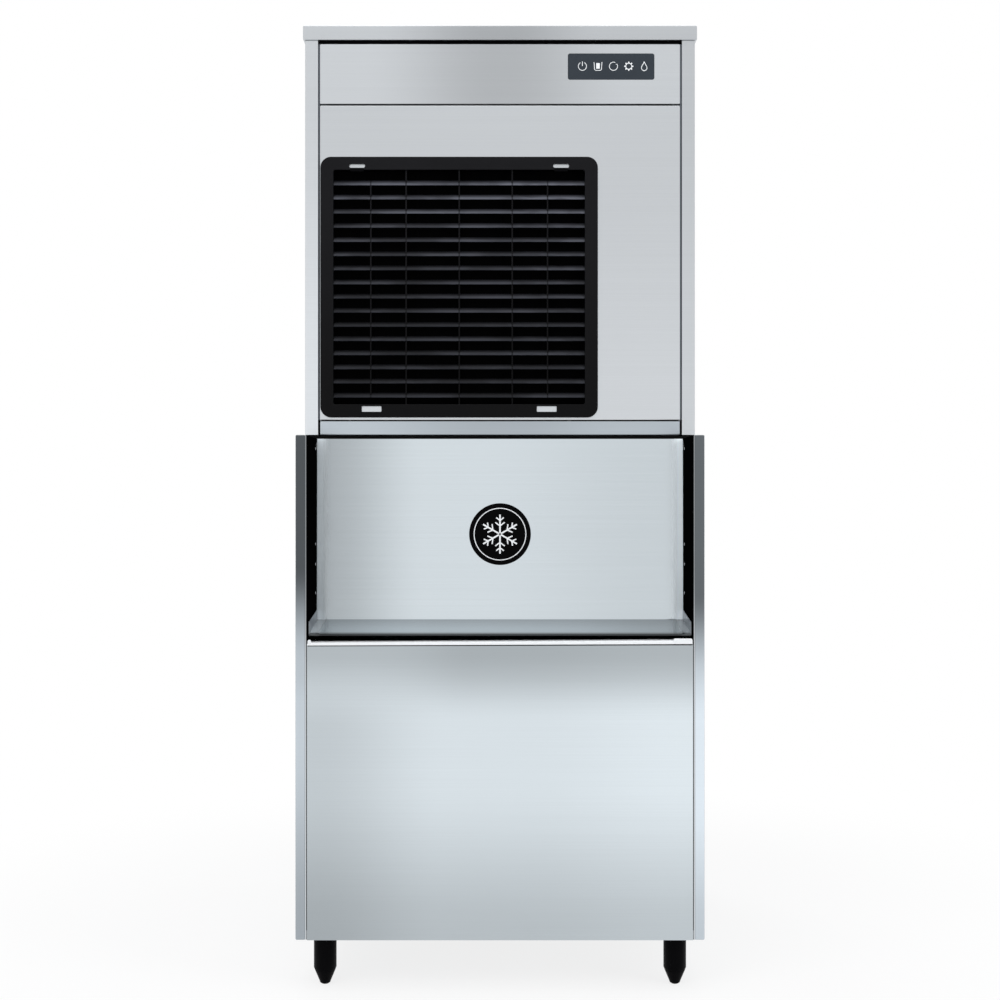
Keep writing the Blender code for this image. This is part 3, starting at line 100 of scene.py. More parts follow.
class Wire:
    """A socket that takes part in Python arithmetic, and adds the Math nodes for it."""

    def __init__(self, graph: Graph, socket: bpy.types.NodeSocket) -> None:
        """Wraps an output socket of a node in the graph."""
        self.graph = graph
        self.socket = socket

    def _math(self, operation: str, *terms: Wire | float) -> Wire:
        """Adds a Math node on the terms.

        Args:
            operation: the node's operation.
            terms: its inputs in order, as wires or numbers.

        Returns:
            The result's wire.
        """
        inputs = dict(enumerate(terms))
        return self.graph.out("ShaderNodeMath", {"operation": operation}, inputs)

    def __add__(self, other: Wire | float) -> Wire:
        """Sum."""
        return self._math("ADD", self, other)

    def __radd__(self, other: float) -> Wire:
        """Sum with a number on the left."""
        return self._math("ADD", other, self)

    def __sub__(self, other: Wire | float) -> Wire:
        """Difference."""
        return self._math("SUBTRACT", self, other)

    def __rsub__(self, other: float) -> Wire:
        """Difference from a number on the left."""
        return self._math("SUBTRACT", other, self)

    def __mul__(self, other: Wire | float) -> Wire:
        """Product."""
        return self._math("MULTIPLY", self, other)

    def __rmul__(self, other: float) -> Wire:
        """Product with a number on the left."""
        return self._math("MULTIPLY", other, self)

    def __truediv__(self, other: Wire | float) -> Wire:
        """Quotient."""
        return self._math("DIVIDE", self, other)

    def __gt__(self, other: Wire | float) -> Wire:
        """1 where this is the greater, else 0."""
        return self._math("GREATER_THAN", self, other)

    def fraction(self) -> Wire:
        """What is left above the next lower whole number."""
        return self._math("FRACT", self)

    def wave(self) -> Wire:
        """Size of the sine of this angle."""
        return abs(self._math("SINE", self))

    def larger(self, other: Wire | float) -> Wire:
        """The larger of the two."""
        return self._math("MAXIMUM", self, other)

    def __abs__(self) -> Wire:
        """Size without its sign."""
        return self._math("ABSOLUTE", self)

    def ramp(self, low: float, high: float, start: float = 0.0, end: float = 1.0) -> Wire:
        """Maps low..high smoothly to start..end, and holds the ends.

        Args:
            low: value that gives start.
            high: value that gives end.
            start: result at and below low.
            end: result at and above high.

        Returns:
            The mapped wire.
        """
        settings = {"interpolation_type": "SMOOTHSTEP"}
        inputs = {0: self, 1: low, 2: high, 3: start, 4: end}
        return self.graph.out("ShaderNodeMapRange", settings, inputs)


class Graph:
    """A node tree with one way to add any node."""

    def __init__(self, tree: bpy.types.NodeTree) -> None:
        """Wraps a tree."""
        self.tree = tree

    def node(
        self,
        kind: str,
        settings: dict[str, object] | None = None,
        inputs: dict[str | int, object] | None = None,
    ) -> bpy.types.Node:
        """Adds a node, gives it its settings and then its inputs.

        Args:
            kind: the node's type.
            settings: its properties.
            inputs: values, wires or sockets by the name or number of the socket.

        Returns:
            The node.
        """
        made = self.tree.nodes.new(kind)
        for name, value in (settings or {}).items():
            setattr(made, name, value)
        for name, value in (inputs or {}).items():
            socket = made.inputs[name]
            if isinstance(value, Wire):
                self.tree.links.new(value.socket, socket)
            elif isinstance(value, bpy.types.NodeSocket):
                self.tree.links.new(value, socket)
            else:
                socket.default_value = value
        return made

    def out(
        self,
        kind: str,
        settings: dict[str, object] | None = None,
        inputs: dict[str | int, object] | None = None,
        name: str | int = 0,
    ) -> Wire:
        """Adds a node as node() does.

        Args:
            kind: the node's type.
            settings: its properties.
            inputs: values, wires or sockets by the name or number of the socket.
            name: name or number of the output.

        Returns:
            The wire of its output with that name or number.
        """
        return Wire(self, self.node(kind, settings, inputs).outputs[name])

    def noise(self, vector: Wire, scale: float, detail: float = 3.0, roughness: float = 0.55) -> Wire:
        """Noise between about 0.2 and 0.8 on a vector.

        Args:
            vector: the coordinates.
            scale: cells per metre.
            detail: octaves.
            roughness: weight of the finer octaves.

        Returns:
            The noise value.
        """
        inputs = {"Vector": vector, "Scale": scale, "Detail": detail, "Roughness": roughness}
        return self.out("ShaderNodeTexNoise", None, inputs, "Fac")

    def streaks(self, vector: Wire, scale: Point3, detail: float = 2.0, roughness: float = 0.55) -> Wire:
        """Noise with a scale of its own along each axis.

        Args:
            vector: the coordinates.
            scale: cells per metre along X, Y and Z.
            detail: octaves.
            roughness: weight of the finer octaves.

        Returns:
            The noise value.
        """
        inputs = {"Vector": vector, "Scale": scale}
        drawn = self.out("ShaderNodeMapping", {"vector_type": "POINT"}, inputs)
        return self.noise(drawn, 1.0, detail, roughness)

    def part(self, vector: Wire, axis: Axis) -> Wire:
        """One coordinate of a vector."""
        return self.out("ShaderNodeSeparateXYZ", None, {0: vector}, axis.value)

    def facing(self, axis: Axis) -> Wire:
        """How far the surface faces along an axis, from -1 to 1."""
        return self.part(self.out("ShaderNodeTexCoord", None, None, "Normal"), axis)

    def scaled(self, colour: Wire, factor: Wire) -> Wire:
        """A colour times a factor."""
        return self.out("ShaderNodeVectorMath", {"operation": "SCALE"}, {"Vector": colour, "Scale": factor})

    def mixed(self, factor: Wire | float, low: object, high: object) -> Wire:
        """Blends two colours.

        Args:
            factor: 0 gives low and 1 gives high.
            low: a colour or a colour's wire.
            high: a colour or a colour's wire.

        Returns:
            The blend.
        """
        ends = [(*end, 1.0) if isinstance(end, tuple) else end for end in (low, high)]
        settings = {"data_type": "RGBA", "clamp_factor": True}
        inputs = {0: factor, 6: ends[0], 7: ends[1]}
        return self.out("ShaderNodeMix", settings, inputs, 2)

    def varied(self, factor: Wire, colour: Colour, dark: float, light: float) -> Wire:
        """Varies a colour's brightness.

        Args:
            factor: 0 gives the dark end and 1 the light one.
            colour: the colour.
            dark: its factor at the dark end.
            light: its factor at the light end.

        Returns:
            The varied colour.
        """
        low, high = (tuple(min(1.0, part * scale) for part in colour) for scale in (dark, light))
        return self.mixed(factor, low, high)


def cleared(holder: bpy.types.Material | bpy.types.World) -> Graph:
    """Empties a material's or a world's node tree.

    Args:
        holder: what owns the tree.

    Returns:
        The tree's graph.
    """
    holder.use_nodes = True
    holder.node_tree.nodes.clear()
    return Graph(holder.node_tree)


class Axis(Enum):
    """An axis of the object, by the number of its coordinate."""

    X = 0
    Y = 1
    Z = 2


@dataclass(frozen=True)
class Shift:
    """A slow ramp of a factor along one axis, within a gate if one is given: on a colour it is painted shade and
    painted reflection, and on metalness it makes the metal partly non-metallic.
    """

    axis: Axis
    low: float
    high: float
    start: float
    end: float
    gate: Shift | None = None

    def factor(self, graph: Graph, place: Wire) -> Wire:
        """The tone's factor at a place.

        Args:
            graph: the material's graph.
            place: object coordinates.

        Returns:
            The factor.
        """
        factor = graph.part(place, self.axis).ramp(self.low, self.high, self.start, self.end)
        if self.gate:
            return 1.0 + self.gate.factor(graph, place) * (factor - 1.0)
        return factor


# Finishes


class Grain(Enum):
    """The way a brushed sheet's hairlines run."""

    ACROSS = "across"
    UPRIGHT = "upright"
    ROUND = "round"


@dataclass(frozen=True)
class Finish:
    """Base of the finishes: a named material with its own node graph."""

    name: str
    slot: str

    def paint(self, graph: Graph, place: Wire) -> dict[str, object]:
        """Works out the shader's inputs.

        Args:
            graph: the material's graph.
            place: object coordinates.

        Returns:
            Values and wires by the name of the shader's input.
        """
        raise NotImplementedError

    def material(self) -> bpy.types.Material:
        """Builds the material once, and gives the same one after that.

        Returns:
            The material.
        """
        made = bpy.data.materials.get(self.name)
        if made:
            return made
        made = bpy.data.materials.new(self.name)
        graph = cleared(made)
        place = graph.out("ShaderNodeTexCoord", None, None, "Object")
        shader = graph.out("ShaderNodeBsdfPrincipled", None, self.paint(graph, place))
        graph.node("ShaderNodeOutputMaterial", None, {"Surface": shader})
        return made

    @staticmethod
    def relief(graph: Graph, height: Wire, strength: float, distance: float) -> Wire:
        """A bumped normal from a height between 0 and 1.

        Args:
            graph: the material's graph.
            height: the height.
            strength: how strongly it bends the normal.
            distance: the height of 1, in metres.

        Returns:
            The normal.
        """
        inputs = {"Height": height, "Strength": strength, "Distance": distance}
        return graph.out("ShaderNodeBump", None, inputs)


@dataclass(frozen=True)
class BrushedSteel(Finish):
    """Stainless sheet with fine hairlines, faint wider bands and a few soft smudges, with painted shade and painted
    reflections along slow ramps.
    """

    slot: str = "stainless"
    colour: Colour = (0.565, 0.590, 0.615)
    # A bluer colour for the front faces only, as a painted reflection
    front_reflection_tint: Colour | None = None
    roughness: float = 0.32
    grain: Grain = Grain.ACROSS
    hairlines: float = 620.0
    contrast: float = 0.030
    # Slow ramps of painted shade and painted reflection: on all faces, on the front faces and on the top faces
    painted_shading: tuple[Shift, ...] = ()
    front_painted_shading: tuple[Shift, ...] = ()
    top_painted_shading: tuple[Shift, ...] = ()
    satin: tuple[Shift, ...] = ()

    def paint(self, graph: Graph, place: Wire) -> dict[str, object]:
        """Hairlines run along the sheet, and the bands and smudges vary tone and gloss; slow ramps paint shade and
        reflections into the colour.

        Args:
            graph: the material's graph.
            place: object coordinates.

        Returns:
            The shader's inputs.
        """
        line = self._lines(graph, place, self.hairlines)
        band = self._lines(graph, place, self.hairlines / 14)
        cloud = graph.noise(place, 2.1, 4.0)
        smudge = graph.noise(place, 9.0, 5.0, 0.62).ramp(0.56, 0.78)
        tone = 0.5 + (line - 0.5) * 0.9 + (band - 0.5) * 0.35 + (cloud - 0.5) * 0.5
        tone = tone.ramp(0.0, 1.0)
        front = graph.facing(Axis.Y).ramp(-0.95, -0.80, 1.0, 0.0)
        dark, light = 1 - self.contrast, 1 + self.contrast
        colour = graph.varied(tone, self.colour, dark, light)
        # Painted reflection: the front faces take the bluer tint
        if self.front_reflection_tint:
            colour = graph.mixed(front, colour, graph.varied(tone, self.front_reflection_tint, dark, light))
        # Painted shade and painted reflections: slow ramps scale the colour on all faces, then on the front faces
        # and the top faces
        for shift in self.painted_shading:
            colour = graph.scaled(colour, shift.factor(graph, place))
        colour = self._shifted(graph, place, colour, front, self.front_painted_shading)
        if self.top_painted_shading:
            top = graph.facing(Axis.Z).ramp(0.50, 0.70)
            colour = self._shifted(graph, place, colour, top, self.top_painted_shading)
        metal: Wire | float = 1.0
        for shift in self.satin:
            metal = metal * shift.factor(graph, place)
        rough = self.roughness + (line - 0.5) * 0.08 + (cloud - 0.5) * 0.06 + smudge * 0.03
        return {
            "Base Color": colour,
            "Metallic": metal,
            "Roughness": rough,
            "Normal": self.relief(graph, line, 0.06, 0.00012),
        }

    @staticmethod
    def _shifted(graph: Graph, place: Wire, colour: Wire, mask: Wire, painted_shading: Sequence[Shift]) -> Wire:
        """Scales a colour by ramps of painted shade and painted reflection where a mask is 1.

        Args:
            graph: the material's graph.
            place: object coordinates.
            colour: the colour to scale.
            mask: 1 on the faces that take the painted shade and reflections.
            painted_shading: the slow ramps of painted shade and painted reflection.

        Returns:
            The scaled colour.
        """
        for shift in painted_shading:
            colour = graph.scaled(colour, 1.0 + mask * (shift.factor(graph, place) - 1.0))
        return colour

    def _lines(self, graph: Graph, place: Wire, density: float) -> Wire:
        """Noise drawn out along the grain, on upright and on level faces alike.

        Args:
            graph: the material's graph.
            place: object coordinates.
            density: lines per metre across the grain.

        Returns:
            The line noise.
        """
        along = density / 260
        if self.grain is Grain.UPRIGHT:
            return graph.streaks(place, (density, density, along), 2.0)
        if self.grain is Grain.ROUND:
            return graph.streaks(place, (along, along, density), 2.0)
        upright = graph.streaks(place, (along, along, density), 2.0)
        level = graph.streaks(place, (along, density, along), 2.0)
        mask = abs(graph.facing(Axis.Z)) > 0.7
        return upright * (1 - mask) + level * mask


@dataclass(frozen=True)
class ZincSheet(Finish):
    """Galvanised sheet with flat crystals, a dull bloom and faint rolling lines."""

    slot: str = "galvanised"
    colour: Colour = (0.40, 0.42, 0.435)
    roughness: float = 0.40
    crystal: float = 95.0

    def paint(self, graph: Graph, place: Wire) -> dict[str, object]:
        """Crystals differ in tone and gloss, and a cloudy bloom dulls them.

        Args:
            graph: the material's graph.
            place: object coordinates.

        Returns:
            The shader's inputs.
        """
        warp = graph.out("ShaderNodeTexNoise", None, {"Vector": place, "Scale": 40.0}, "Color")
        bent = graph.mixed(0.012, place, warp)
        settings = {"feature": "F1", "distance": "CHEBYCHEV"}
        cells = graph.node("ShaderNodeTexVoronoi", settings, {"Vector": bent, "Scale": self.crystal})
        tone = graph.out("ShaderNodeSeparateColor", None, {0: cells.outputs["Color"]}, 0)
        bloom = graph.noise(place, 6.0, 5.0)
        colour = graph.varied(tone * 0.6 + bloom * 0.5, self.colour, 0.86, 1.10)
        height = tone * 0.5 + graph.noise(place, 700.0, 2.0) * 0.5
        return {
            "Base Color": colour,
            "Metallic": 0.85,
            "Roughness": self.roughness + (tone - 0.5) * 0.16 + (bloom - 0.5) * 0.12,
            "Normal": self.relief(graph, height, 0.12, 0.0002),
        }


@dataclass(frozen=True)
class Plastic(Finish):
    """Moulded plastic with a fine eroded texture and slow changes of gloss."""

    slot: str = "black_plastic"
    colour: Colour = (0.012, 0.012, 0.013)
    roughness: float = 0.40
    texture: float = 1400.0
    depth: float = 0.00012
    strength: float = 0.25
    variation: float = 0.14
    specular: float = 0.5
    # Slow ramps of painted shade and painted light on the colour
    painted_shading: tuple[Shift, ...] = ()

    def paint(self, graph: Graph, place: Wire) -> dict[str, object]:
        """The texture bends the normal, and a cloud varies colour and gloss.

        Args:
            graph: the material's graph.
            place: object coordinates.

        Returns:
            The shader's inputs.
        """
        grain = graph.noise(place, self.texture, 2.0)
        cloud = graph.noise(place, 7.0, 4.0)
        rubbed = graph.streaks(place, (30.0, 30.0, 110.0), 5.0, 0.7).ramp(0.60, 0.80)
        colour = graph.varied(cloud.ramp(0.25, 0.75), self.colour, 1 - self.variation, 1 + self.variation)
        # Painted shade and painted light: slow ramps scale the colour
        for shift in self.painted_shading:
            colour = graph.scaled(colour, shift.factor(graph, place))
        return {
            "Base Color": colour,
            "Specular IOR Level": self.specular,
            "Roughness": self.roughness + (cloud - 0.5) * 0.14 + (grain - 0.5) * 0.10 - rubbed * 0.05,
            "Normal": self.relief(graph, grain, self.strength, self.depth),
        }


@dataclass(frozen=True)
class LouvrePlastic(Plastic):
    """Moulded slats with painted light, brighter towards their lower edges."""

    first: float = 1.53
    pitch: float = 0.02758
    # Factors of the painted light at each slat's upper and lower edge
    upper: float = 0.25
    lower: float = 1.45
    bars: tuple[float, ...] = ()
    # Width of the painted shade beside each bar
    bar_shade_width: float = 0.0019

    def paint(self, graph: Graph, place: Wire) -> dict[str, object]:
        """Paints light onto each slat, growing from its upper to its lower edge, with streaks of painted reflection,
        and paints shade beside the bars.

        Args:
            graph: the material's graph.
            place: object coordinates.

        Returns:
            The shader's inputs.
        """
        inputs = super().paint(graph, place)
        # Painted reflection streaks, with painted shade where the bars cross the slats
        painted_light = graph.streaks(place, (8.0, 1.0, 30.0), 3.0).ramp(0.40, 0.64, 0.66, 1.45)
        across = graph.part(place, Axis.X)
        for bar in self.bars:
            painted_light = painted_light * abs(across - bar).ramp(self.bar_shade_width * 0.4, self.bar_shade_width, 0.30, 1.0)
        # Painted light: each slat grows brighter towards its lower edge
        row = ((graph.part(place, Axis.Z) - self.first) / self.pitch + 0.5).fraction() - 0.5
        painted_slat_light = row.ramp(-0.17, 0.16, self.lower, self.upper) * painted_light
        inputs["Base Color"] = graph.scaled(inputs["Base Color"], painted_slat_light)
        return inputs


@dataclass(frozen=True)
class Gloss(Finish):
    """A smooth coated surface with a slight orange peel, such as enamel or a printed film."""

    colour: Colour = (0.014, 0.014, 0.015)
    roughness: float = 0.22
    peel: float = 260.0
    coat: float = 0.25
    specular: float = 0.5

    def paint(self, graph: Graph, place: Wire) -> dict[str, object]:
        """The peel bends the normal a little, and faint wipe marks vary the gloss.

        Args:
            graph: the material's graph.
            place: object coordinates.

        Returns:
            The shader's inputs.
        """
        peel = graph.noise(place, self.peel, 2.0)
        wiped = graph.streaks(place, (18.0, 18.0, 60.0), 4.0)
        cloud = graph.noise(place, 12.0, 3.0)
        return {
            "Base Color": graph.varied(cloud, self.colour, 0.88, 1.10),
            "Roughness": self.roughness + (wiped - 0.5) * 0.12,
            "Specular IOR Level": self.specular,
            "Coat Weight": self.coat,
            "Normal": self.relief(graph, peel, 0.06, 0.0002),
        }


@dataclass(frozen=True)
class Metal(Finish):
    """Drawn or machined metal with tool lines and a tarnish in patches."""

    colour: Colour = (0.72, 0.33, 0.19)
    tarnish: Colour = (0.30, 0.13, 0.08)
    roughness: float = 0.30
    lines: Point3 = (40.0, 40.0, 900.0)
    patches: float = 24.0
    amount: float = 0.45

    def paint(self, graph: Graph, place: Wire) -> dict[str, object]:
        """Tarnish darkens and dulls the metal in patches.

        Args:
            graph: the material's graph.
            place: object coordinates.

        Returns:
            The shader's inputs.
        """
        line = graph.streaks(place, self.lines, 2.0)
        patch = graph.noise(place, self.patches, 5.0, 0.6).ramp(0.42, 0.72) * self.amount
        bright = graph.varied(line, self.colour, 0.90, 1.08)
        return {
            "Base Color": graph.mixed(patch, bright, self.tarnish),
            "Metallic": 1.0,
            "Roughness": self.roughness + patch * 0.30 + (line - 0.5) * 0.10,
            "Normal": self.relief(graph, line, 0.10, 0.0001),
        }


@dataclass(frozen=True)
class Foam(Finish):
    """Rigid poured foam with open cells."""

    slot: str = "foam"
    colour: Colour = (0.72, 0.60, 0.32)

    def paint(self, graph: Graph, place: Wire) -> dict[str, object]:
        """Cells of two sizes pit the surface, with shade painted into the pits.

        Args:
            graph: the material's graph.
            place: object coordinates.

        Returns:
            The shader's inputs.
        """
        cells = graph.out("ShaderNodeTexVoronoi", None, {"Vector": place, "Scale": 420.0}, "Distance")
        skin = graph.noise(place, 30.0, 5.0)
        pit = cells.ramp(0.0, 0.6)
        return {
            # Painted shade: the pits are darker
            "Base Color": graph.varied(pit * 0.5 + skin * 0.5, self.colour, 0.72, 1.1),
            "Roughness": 0.86 + (skin - 0.5) * 0.12,
            "Normal": self.relief(graph, pit, 0.5, 0.0006),
        }


@dataclass(frozen=True)
class Weave(Finish):
    """Fine filter net, woven across and upright."""

    slot: str = "black_plastic"
    colour: Colour = (0.0012, 0.0012, 0.0013)
    threads: float = 520.0

    def paint(self, graph: Graph, place: Wire) -> dict[str, object]:
        """Two crossing sets of threads stand up from gaps painted dark as shade, with painted light on the threads.

        Args:
            graph: the material's graph.
            place: object coordinates.

        Returns:
            The shader's inputs.
        """
        turn = 2 * math.pi * self.threads
        height = (graph.part(place, Axis.X) * turn).wave().larger((graph.part(place, Axis.Z) * turn).wave())
        dust = graph.noise(place, 14.0, 4.0)
        return {
            # Painted shade in the gaps and painted light on the threads, mixed with noise
            "Base Color": graph.varied(height * 0.7 + dust * 0.3, self.colour, 0.3, 1.5),
            "Roughness": 0.75 + (dust - 0.5) * 0.15,
            "Specular IOR Level": 0.0,
            "Normal": self.relief(graph, height, 0.6, 0.0004),
        }


class Finishes:
    """Every finish on the machine, by the record's slots."""

    X, Z = Axis.X, Axis.Z
    COOL: Colour = (0.565, 0.617, 0.650)
    COOLER: Colour = (0.562, 0.622, 0.674)

    # Painted reflections: slow ramps make the head's steel darker and lighter across and up its faces
    CAP_STEEL = BrushedSteel(
        "cap_steel",
        front_painted_shading=(Shift(X, -0.25, -0.02, 1.02, 0.72), Shift(X, 0.02, 0.20, 1.0, 1.30)),
    )
    FASCIA_STEEL = BrushedSteel(
        "fascia_steel",
        painted_shading=(Shift(X, -0.27, -0.01, 1.08, 0.80), Shift(X, 0.02, 0.26, 1.0, 1.32)),
    )
    HEAD_STEEL = BrushedSteel("head_front_steel", painted_shading=(Shift(Z, 1.05, 1.60, 1.16, 1.03),))
    RAIL_STEEL = BrushedSteel(
        "rail_steel",
        colour=COOLER,
        front_painted_shading=(Shift(X, -0.30, -0.02, 0.95, 0.76), Shift(X, 0.04, 0.22, 1.0, 1.12)),
    )
    LEFT_STEEL = BrushedSteel("left_side_steel", front_painted_shading=(Shift(Z, 1.05, 1.75, 1.36, 1.08),))
    RIGHT_STEEL = BrushedSteel("right_side_steel", front_painted_shading=(Shift(Z, 1.05, 1.75, 1.12, 0.96),))
    # Painted shade and painted reflection: the posts' front faces grow much darker towards the top, and take a bluer
    # tint
    LEFT_POST = BrushedSteel(
        "left_post_steel",
        front_reflection_tint=COOLER,
        front_painted_shading=(
            Shift(Z, 0.61, 0.79, 1.0, 0.17),
            Shift(Z, 0.53, 0.60, 1.0, 0.89),
            Shift(Z, 0.12, 0.47, 0.66, 1.04),
        ),
    )
    RIGHT_POST = BrushedSteel(
        "right_post_steel",
        front_reflection_tint=COOLER,
        front_painted_shading=(
            Shift(Z, 0.56, 0.74, 1.0, 0.21),
            Shift(Z, 0.50, 0.60, 1.0, 0.82),
            Shift(Z, 0.10, 0.36, 0.98, 1.40),
        ),
    )
    # Painted reflections and painted shade: slow ramps darken the lower front at its bottom, at its left and under
    # the lid's lip
    PANEL_STEEL = BrushedSteel(
        "bin_front_steel",
        colour=COOL,
        front_painted_shading=(
            Shift(Z, 0.10, 0.40, 0.84, 1.22),
            Shift(Z, 0.50, 0.63, 1.0, 0.62),
            Shift(X, -0.34, -0.10, 0.82, 1.05),
            Shift(X, -0.34, -0.05, 1.36, 0.94, Shift(Z, 0.49, 0.60, 0.0, 1.0)),
            Shift(X, 0.05, 0.34, 1.0, 1.08),
        ),
    )
    # Painted shade in the gap under the lid's lip, painted highlights on its ends, and painted reflections across
    # its front and top faces
    LID_STEEL = BrushedSteel(
        "lid_steel",
        colour=COOL,
        roughness=0.15,
        painted_shading=(Shift(Z, 0.6624, 0.6646, 0.10, 1.0),),
        front_painted_shading=(
            Shift(X, -0.34, -0.14, 0.72, 1.15),
            Shift(X, -0.05, 0.30, 1.0, 0.89),
            Shift(X, -0.352, -0.331, 1.86, 1.0),
            Shift(X, 0.331, 0.352, 1.0, 1.95),
        ),
        top_painted_shading=(
            Shift(X, -0.30, -0.12, 1.0, 0.78),
            Shift(X, 0.12, 0.33, 1.0, 0.74),
            Shift(Z, 0.6655, 0.6805, 1.08, 0.60),
        ),
        satin=(Shift(X, -0.347, -0.331, 0.12, 1.0), Shift(X, 0.331, 0.347, 1.0, 0.12)),
    )
    # A darker copy of the steel, as painted shade on the lip's ends
    LIP_STEEL = BrushedSteel("lip_steel", colour=(0.33, 0.35, 0.38))
    # Painted highlight: a lighter, glossier steel for the posts' inner edges, with painted shade towards their top
    POST_HIGHLIGHT_STEEL = BrushedSteel(
        "post_edge_highlight_steel",
        colour=(0.66, 0.69, 0.72),
        roughness=0.22,
        grain=Grain.UPRIGHT,
        painted_shading=(Shift(Z, 0.55, 0.80, 1.0, 0.42),),
    )
    TURNED_STEEL = BrushedSteel("turned_steel", grain=Grain.ROUND, roughness=0.24, hairlines=900.0)
    ZINC = ZincSheet("zinc_sheet")
    ZINC_FINE = ZincSheet("zinc_plating", crystal=900.0, roughness=0.32)
    BLACK = Plastic("black_moulding", colour=(0.0014, 0.0014, 0.0018), specular=0.03)
    GRILLE_BLACK = Plastic(
        "grille_moulding",
        colour=(0.0052, 0.0052, 0.0062),
        roughness=0.34,
        strength=0.12,
        specular=0.09,
        painted_shading=(Shift(Z, 1.08, 1.55, 0.40, 1.32),),
    )
    SLAT_BLACK = LouvrePlastic(
        "slat_moulding",
        colour=(0.0285, 0.0300, 0.0365),
        roughness=0.36,
        strength=0.12,
        specular=0.06,
        painted_shading=(
            Shift(Z, 1.10, 1.30, 0.50, 0.76),
            Shift(Z, 1.33, 1.42, 1.0, 1.40),
            Shift(Z, 1.42, 1.54, 1.0, 2.1),
            Shift(X, -0.30, 0.15, 0.76, 1.20),
        ),
    )
    # Black trim with no gloss, also used for strips that paint shade in gaps
    BLACK_TRIM_AND_GAP_SHADE = Plastic("black_trim_and_gap_shade", colour=(0.0014, 0.0014, 0.0016), roughness=0.6, specular=0.0)
    NET = Weave("filter_net")
    FILM = Gloss("slate_film", "control_film", colour=(0.032, 0.040, 0.050), roughness=0.30, coat=0.0, specular=0.15)
    BADGE = Gloss(
        "badge_lacquer", "badge_black", colour=(0.0010, 0.0010, 0.0011), roughness=0.30, coat=0.0, specular=0.03
    )
    GUARD = Plastic(
        "white_edge_guard", "white_plastic", colour=(0.84, 0.86, 0.88), roughness=0.28, texture=900.0, variation=0.02
    )
    INK = Plastic(
        "white_print", "white_plastic", colour=(0.86, 0.88, 0.90), roughness=0.45, texture=2600.0, variation=0.03
    )
    WHITE = Plastic(
        "white_liner", "white_plastic", colour=(0.76, 0.78, 0.79), roughness=0.34, texture=500.0, variation=0.03
    )
    FOAM = Foam("poured_foam")
    RUBBER = Plastic(
        "seal_rubber", "rubber", colour=(0.016, 0.016, 0.017), roughness=0.68, texture=900.0, strength=0.35
    )
    ALUMINIUM = Metal(
        "fin_aluminium", "aluminium", colour=(0.70, 0.71, 0.72), tarnish=(0.42, 0.43, 0.44), roughness=0.36
    )
    COPPER = Metal("copper_tube", "copper")
    BRASS = Metal(
        "machined_brass",
        "brass",
        colour=(0.66, 0.49, 0.22),
        tarnish=(0.34, 0.24, 0.10),
        lines=(500.0, 60.0, 500.0),
        roughness=0.28,
    )
    ENAMEL = Gloss("black_enamel", "black_enamel")
    SEAM_GREY = Plastic("seam_strip", "grey_plastic", colour=(0.090, 0.100, 0.115), roughness=0.6, specular=0.1)
    GREY = Plastic("grey_moulding", "grey_plastic", colour=(0.30, 0.32, 0.33), roughness=0.42)


# Mesh making


def ringed(items: Sequence[Item]) -> Iterator[tuple[Item, Item]]:
    """Pairs each item of a closed ring with the next one."""
    return zip(items, [*items[1:], items[0]])


def bridged(shape: bmesh.types.BMesh, low: Sequence[bmesh.types.BMVert], high: Sequence[bmesh.types.BMVert]) -> None:
    """Joins two rings of as many vertices with faces.

    Args:
        shape: what takes the faces.
        low: one ring.
        high: the other ring.
    """
    for (near, after), (far, beyond) in zip(ringed(low), ringed(high)):
        shape.faces.new((near, after, beyond, far))


def linked(name: str, data: bpy.types.ID) -> bpy.types.Object:
    """Links a new object.

    Args:
        name: the object's name.
        data: its mesh, curve, lamp or camera.

    Returns:
        The object.
    """
    piece = bpy.data.objects.new(name, data)
    bpy.context.scene.collection.objects.link(piece)
    return piece


def drained(source: bpy.types.Object, shape: bmesh.types.BMesh) -> None:
    """Adds an object's evaluated faces to a shape, and removes the object.

    Args:
        source: the object.
        shape: what takes the faces.
    """
    bpy.context.view_layer.update()
    evaluated = source.evaluated_get(bpy.context.evaluated_depsgraph_get())
    mesh = bpy.data.meshes.new_from_object(evaluated)
    shape.from_mesh(mesh)
    bpy.data.meshes.remove(mesh)
    bpy.data.objects.remove(source)


def from_shape(name: str, shape: bmesh.types.BMesh, angle: float = SOFT_ANGLE) -> bpy.types.Object:
    """Turns a bmesh into an object with soft shading up to an angle.

    Args:
        name: the piece's name.
        shape: its faces, which are freed.
        angle: edges sharper than this many degrees stay sharp.

    Returns:
        The object.
    """
    for face in shape.faces:
        face.smooth = True
    for edge in shape.edges:
        edge.smooth = edge.calc_face_angle(0.0) < math.radians(angle)
    mesh = bpy.data.meshes.new(name)
    shape.to_mesh(mesh)
    shape.free()
    return linked(name, mesh)


def joined(name: str, parts: Sequence[bpy.types.Object]) -> bpy.types.Object:
    """Makes one object of several at the origin.

    Args:
        name: its name.
        parts: the objects, which are removed.

    Returns:
        The object.
    """
    shape = bmesh.new()
    for part in parts:
        drained(part, shape)
    mesh = bpy.data.meshes.new(name)
    shape.to_mesh(mesh)
    shape.free()
    return linked(name, mesh)


def weigh_normals(piece: bpy.types.Object) -> None:
    """Lets the large flat faces set the shading beside their rounded edges.

    Args:
        piece: the object.
    """
    weighted = piece.modifiers.new("Weighted", "WEIGHTED_NORMAL")
    weighted.weight = 100
    weighted.keep_sharp = True


class Aim(Enum):
    """Where a turned piece's height points, in quarter turns about X from +Z."""

    UP = 0
    BACK = -1
    FRONT = 1


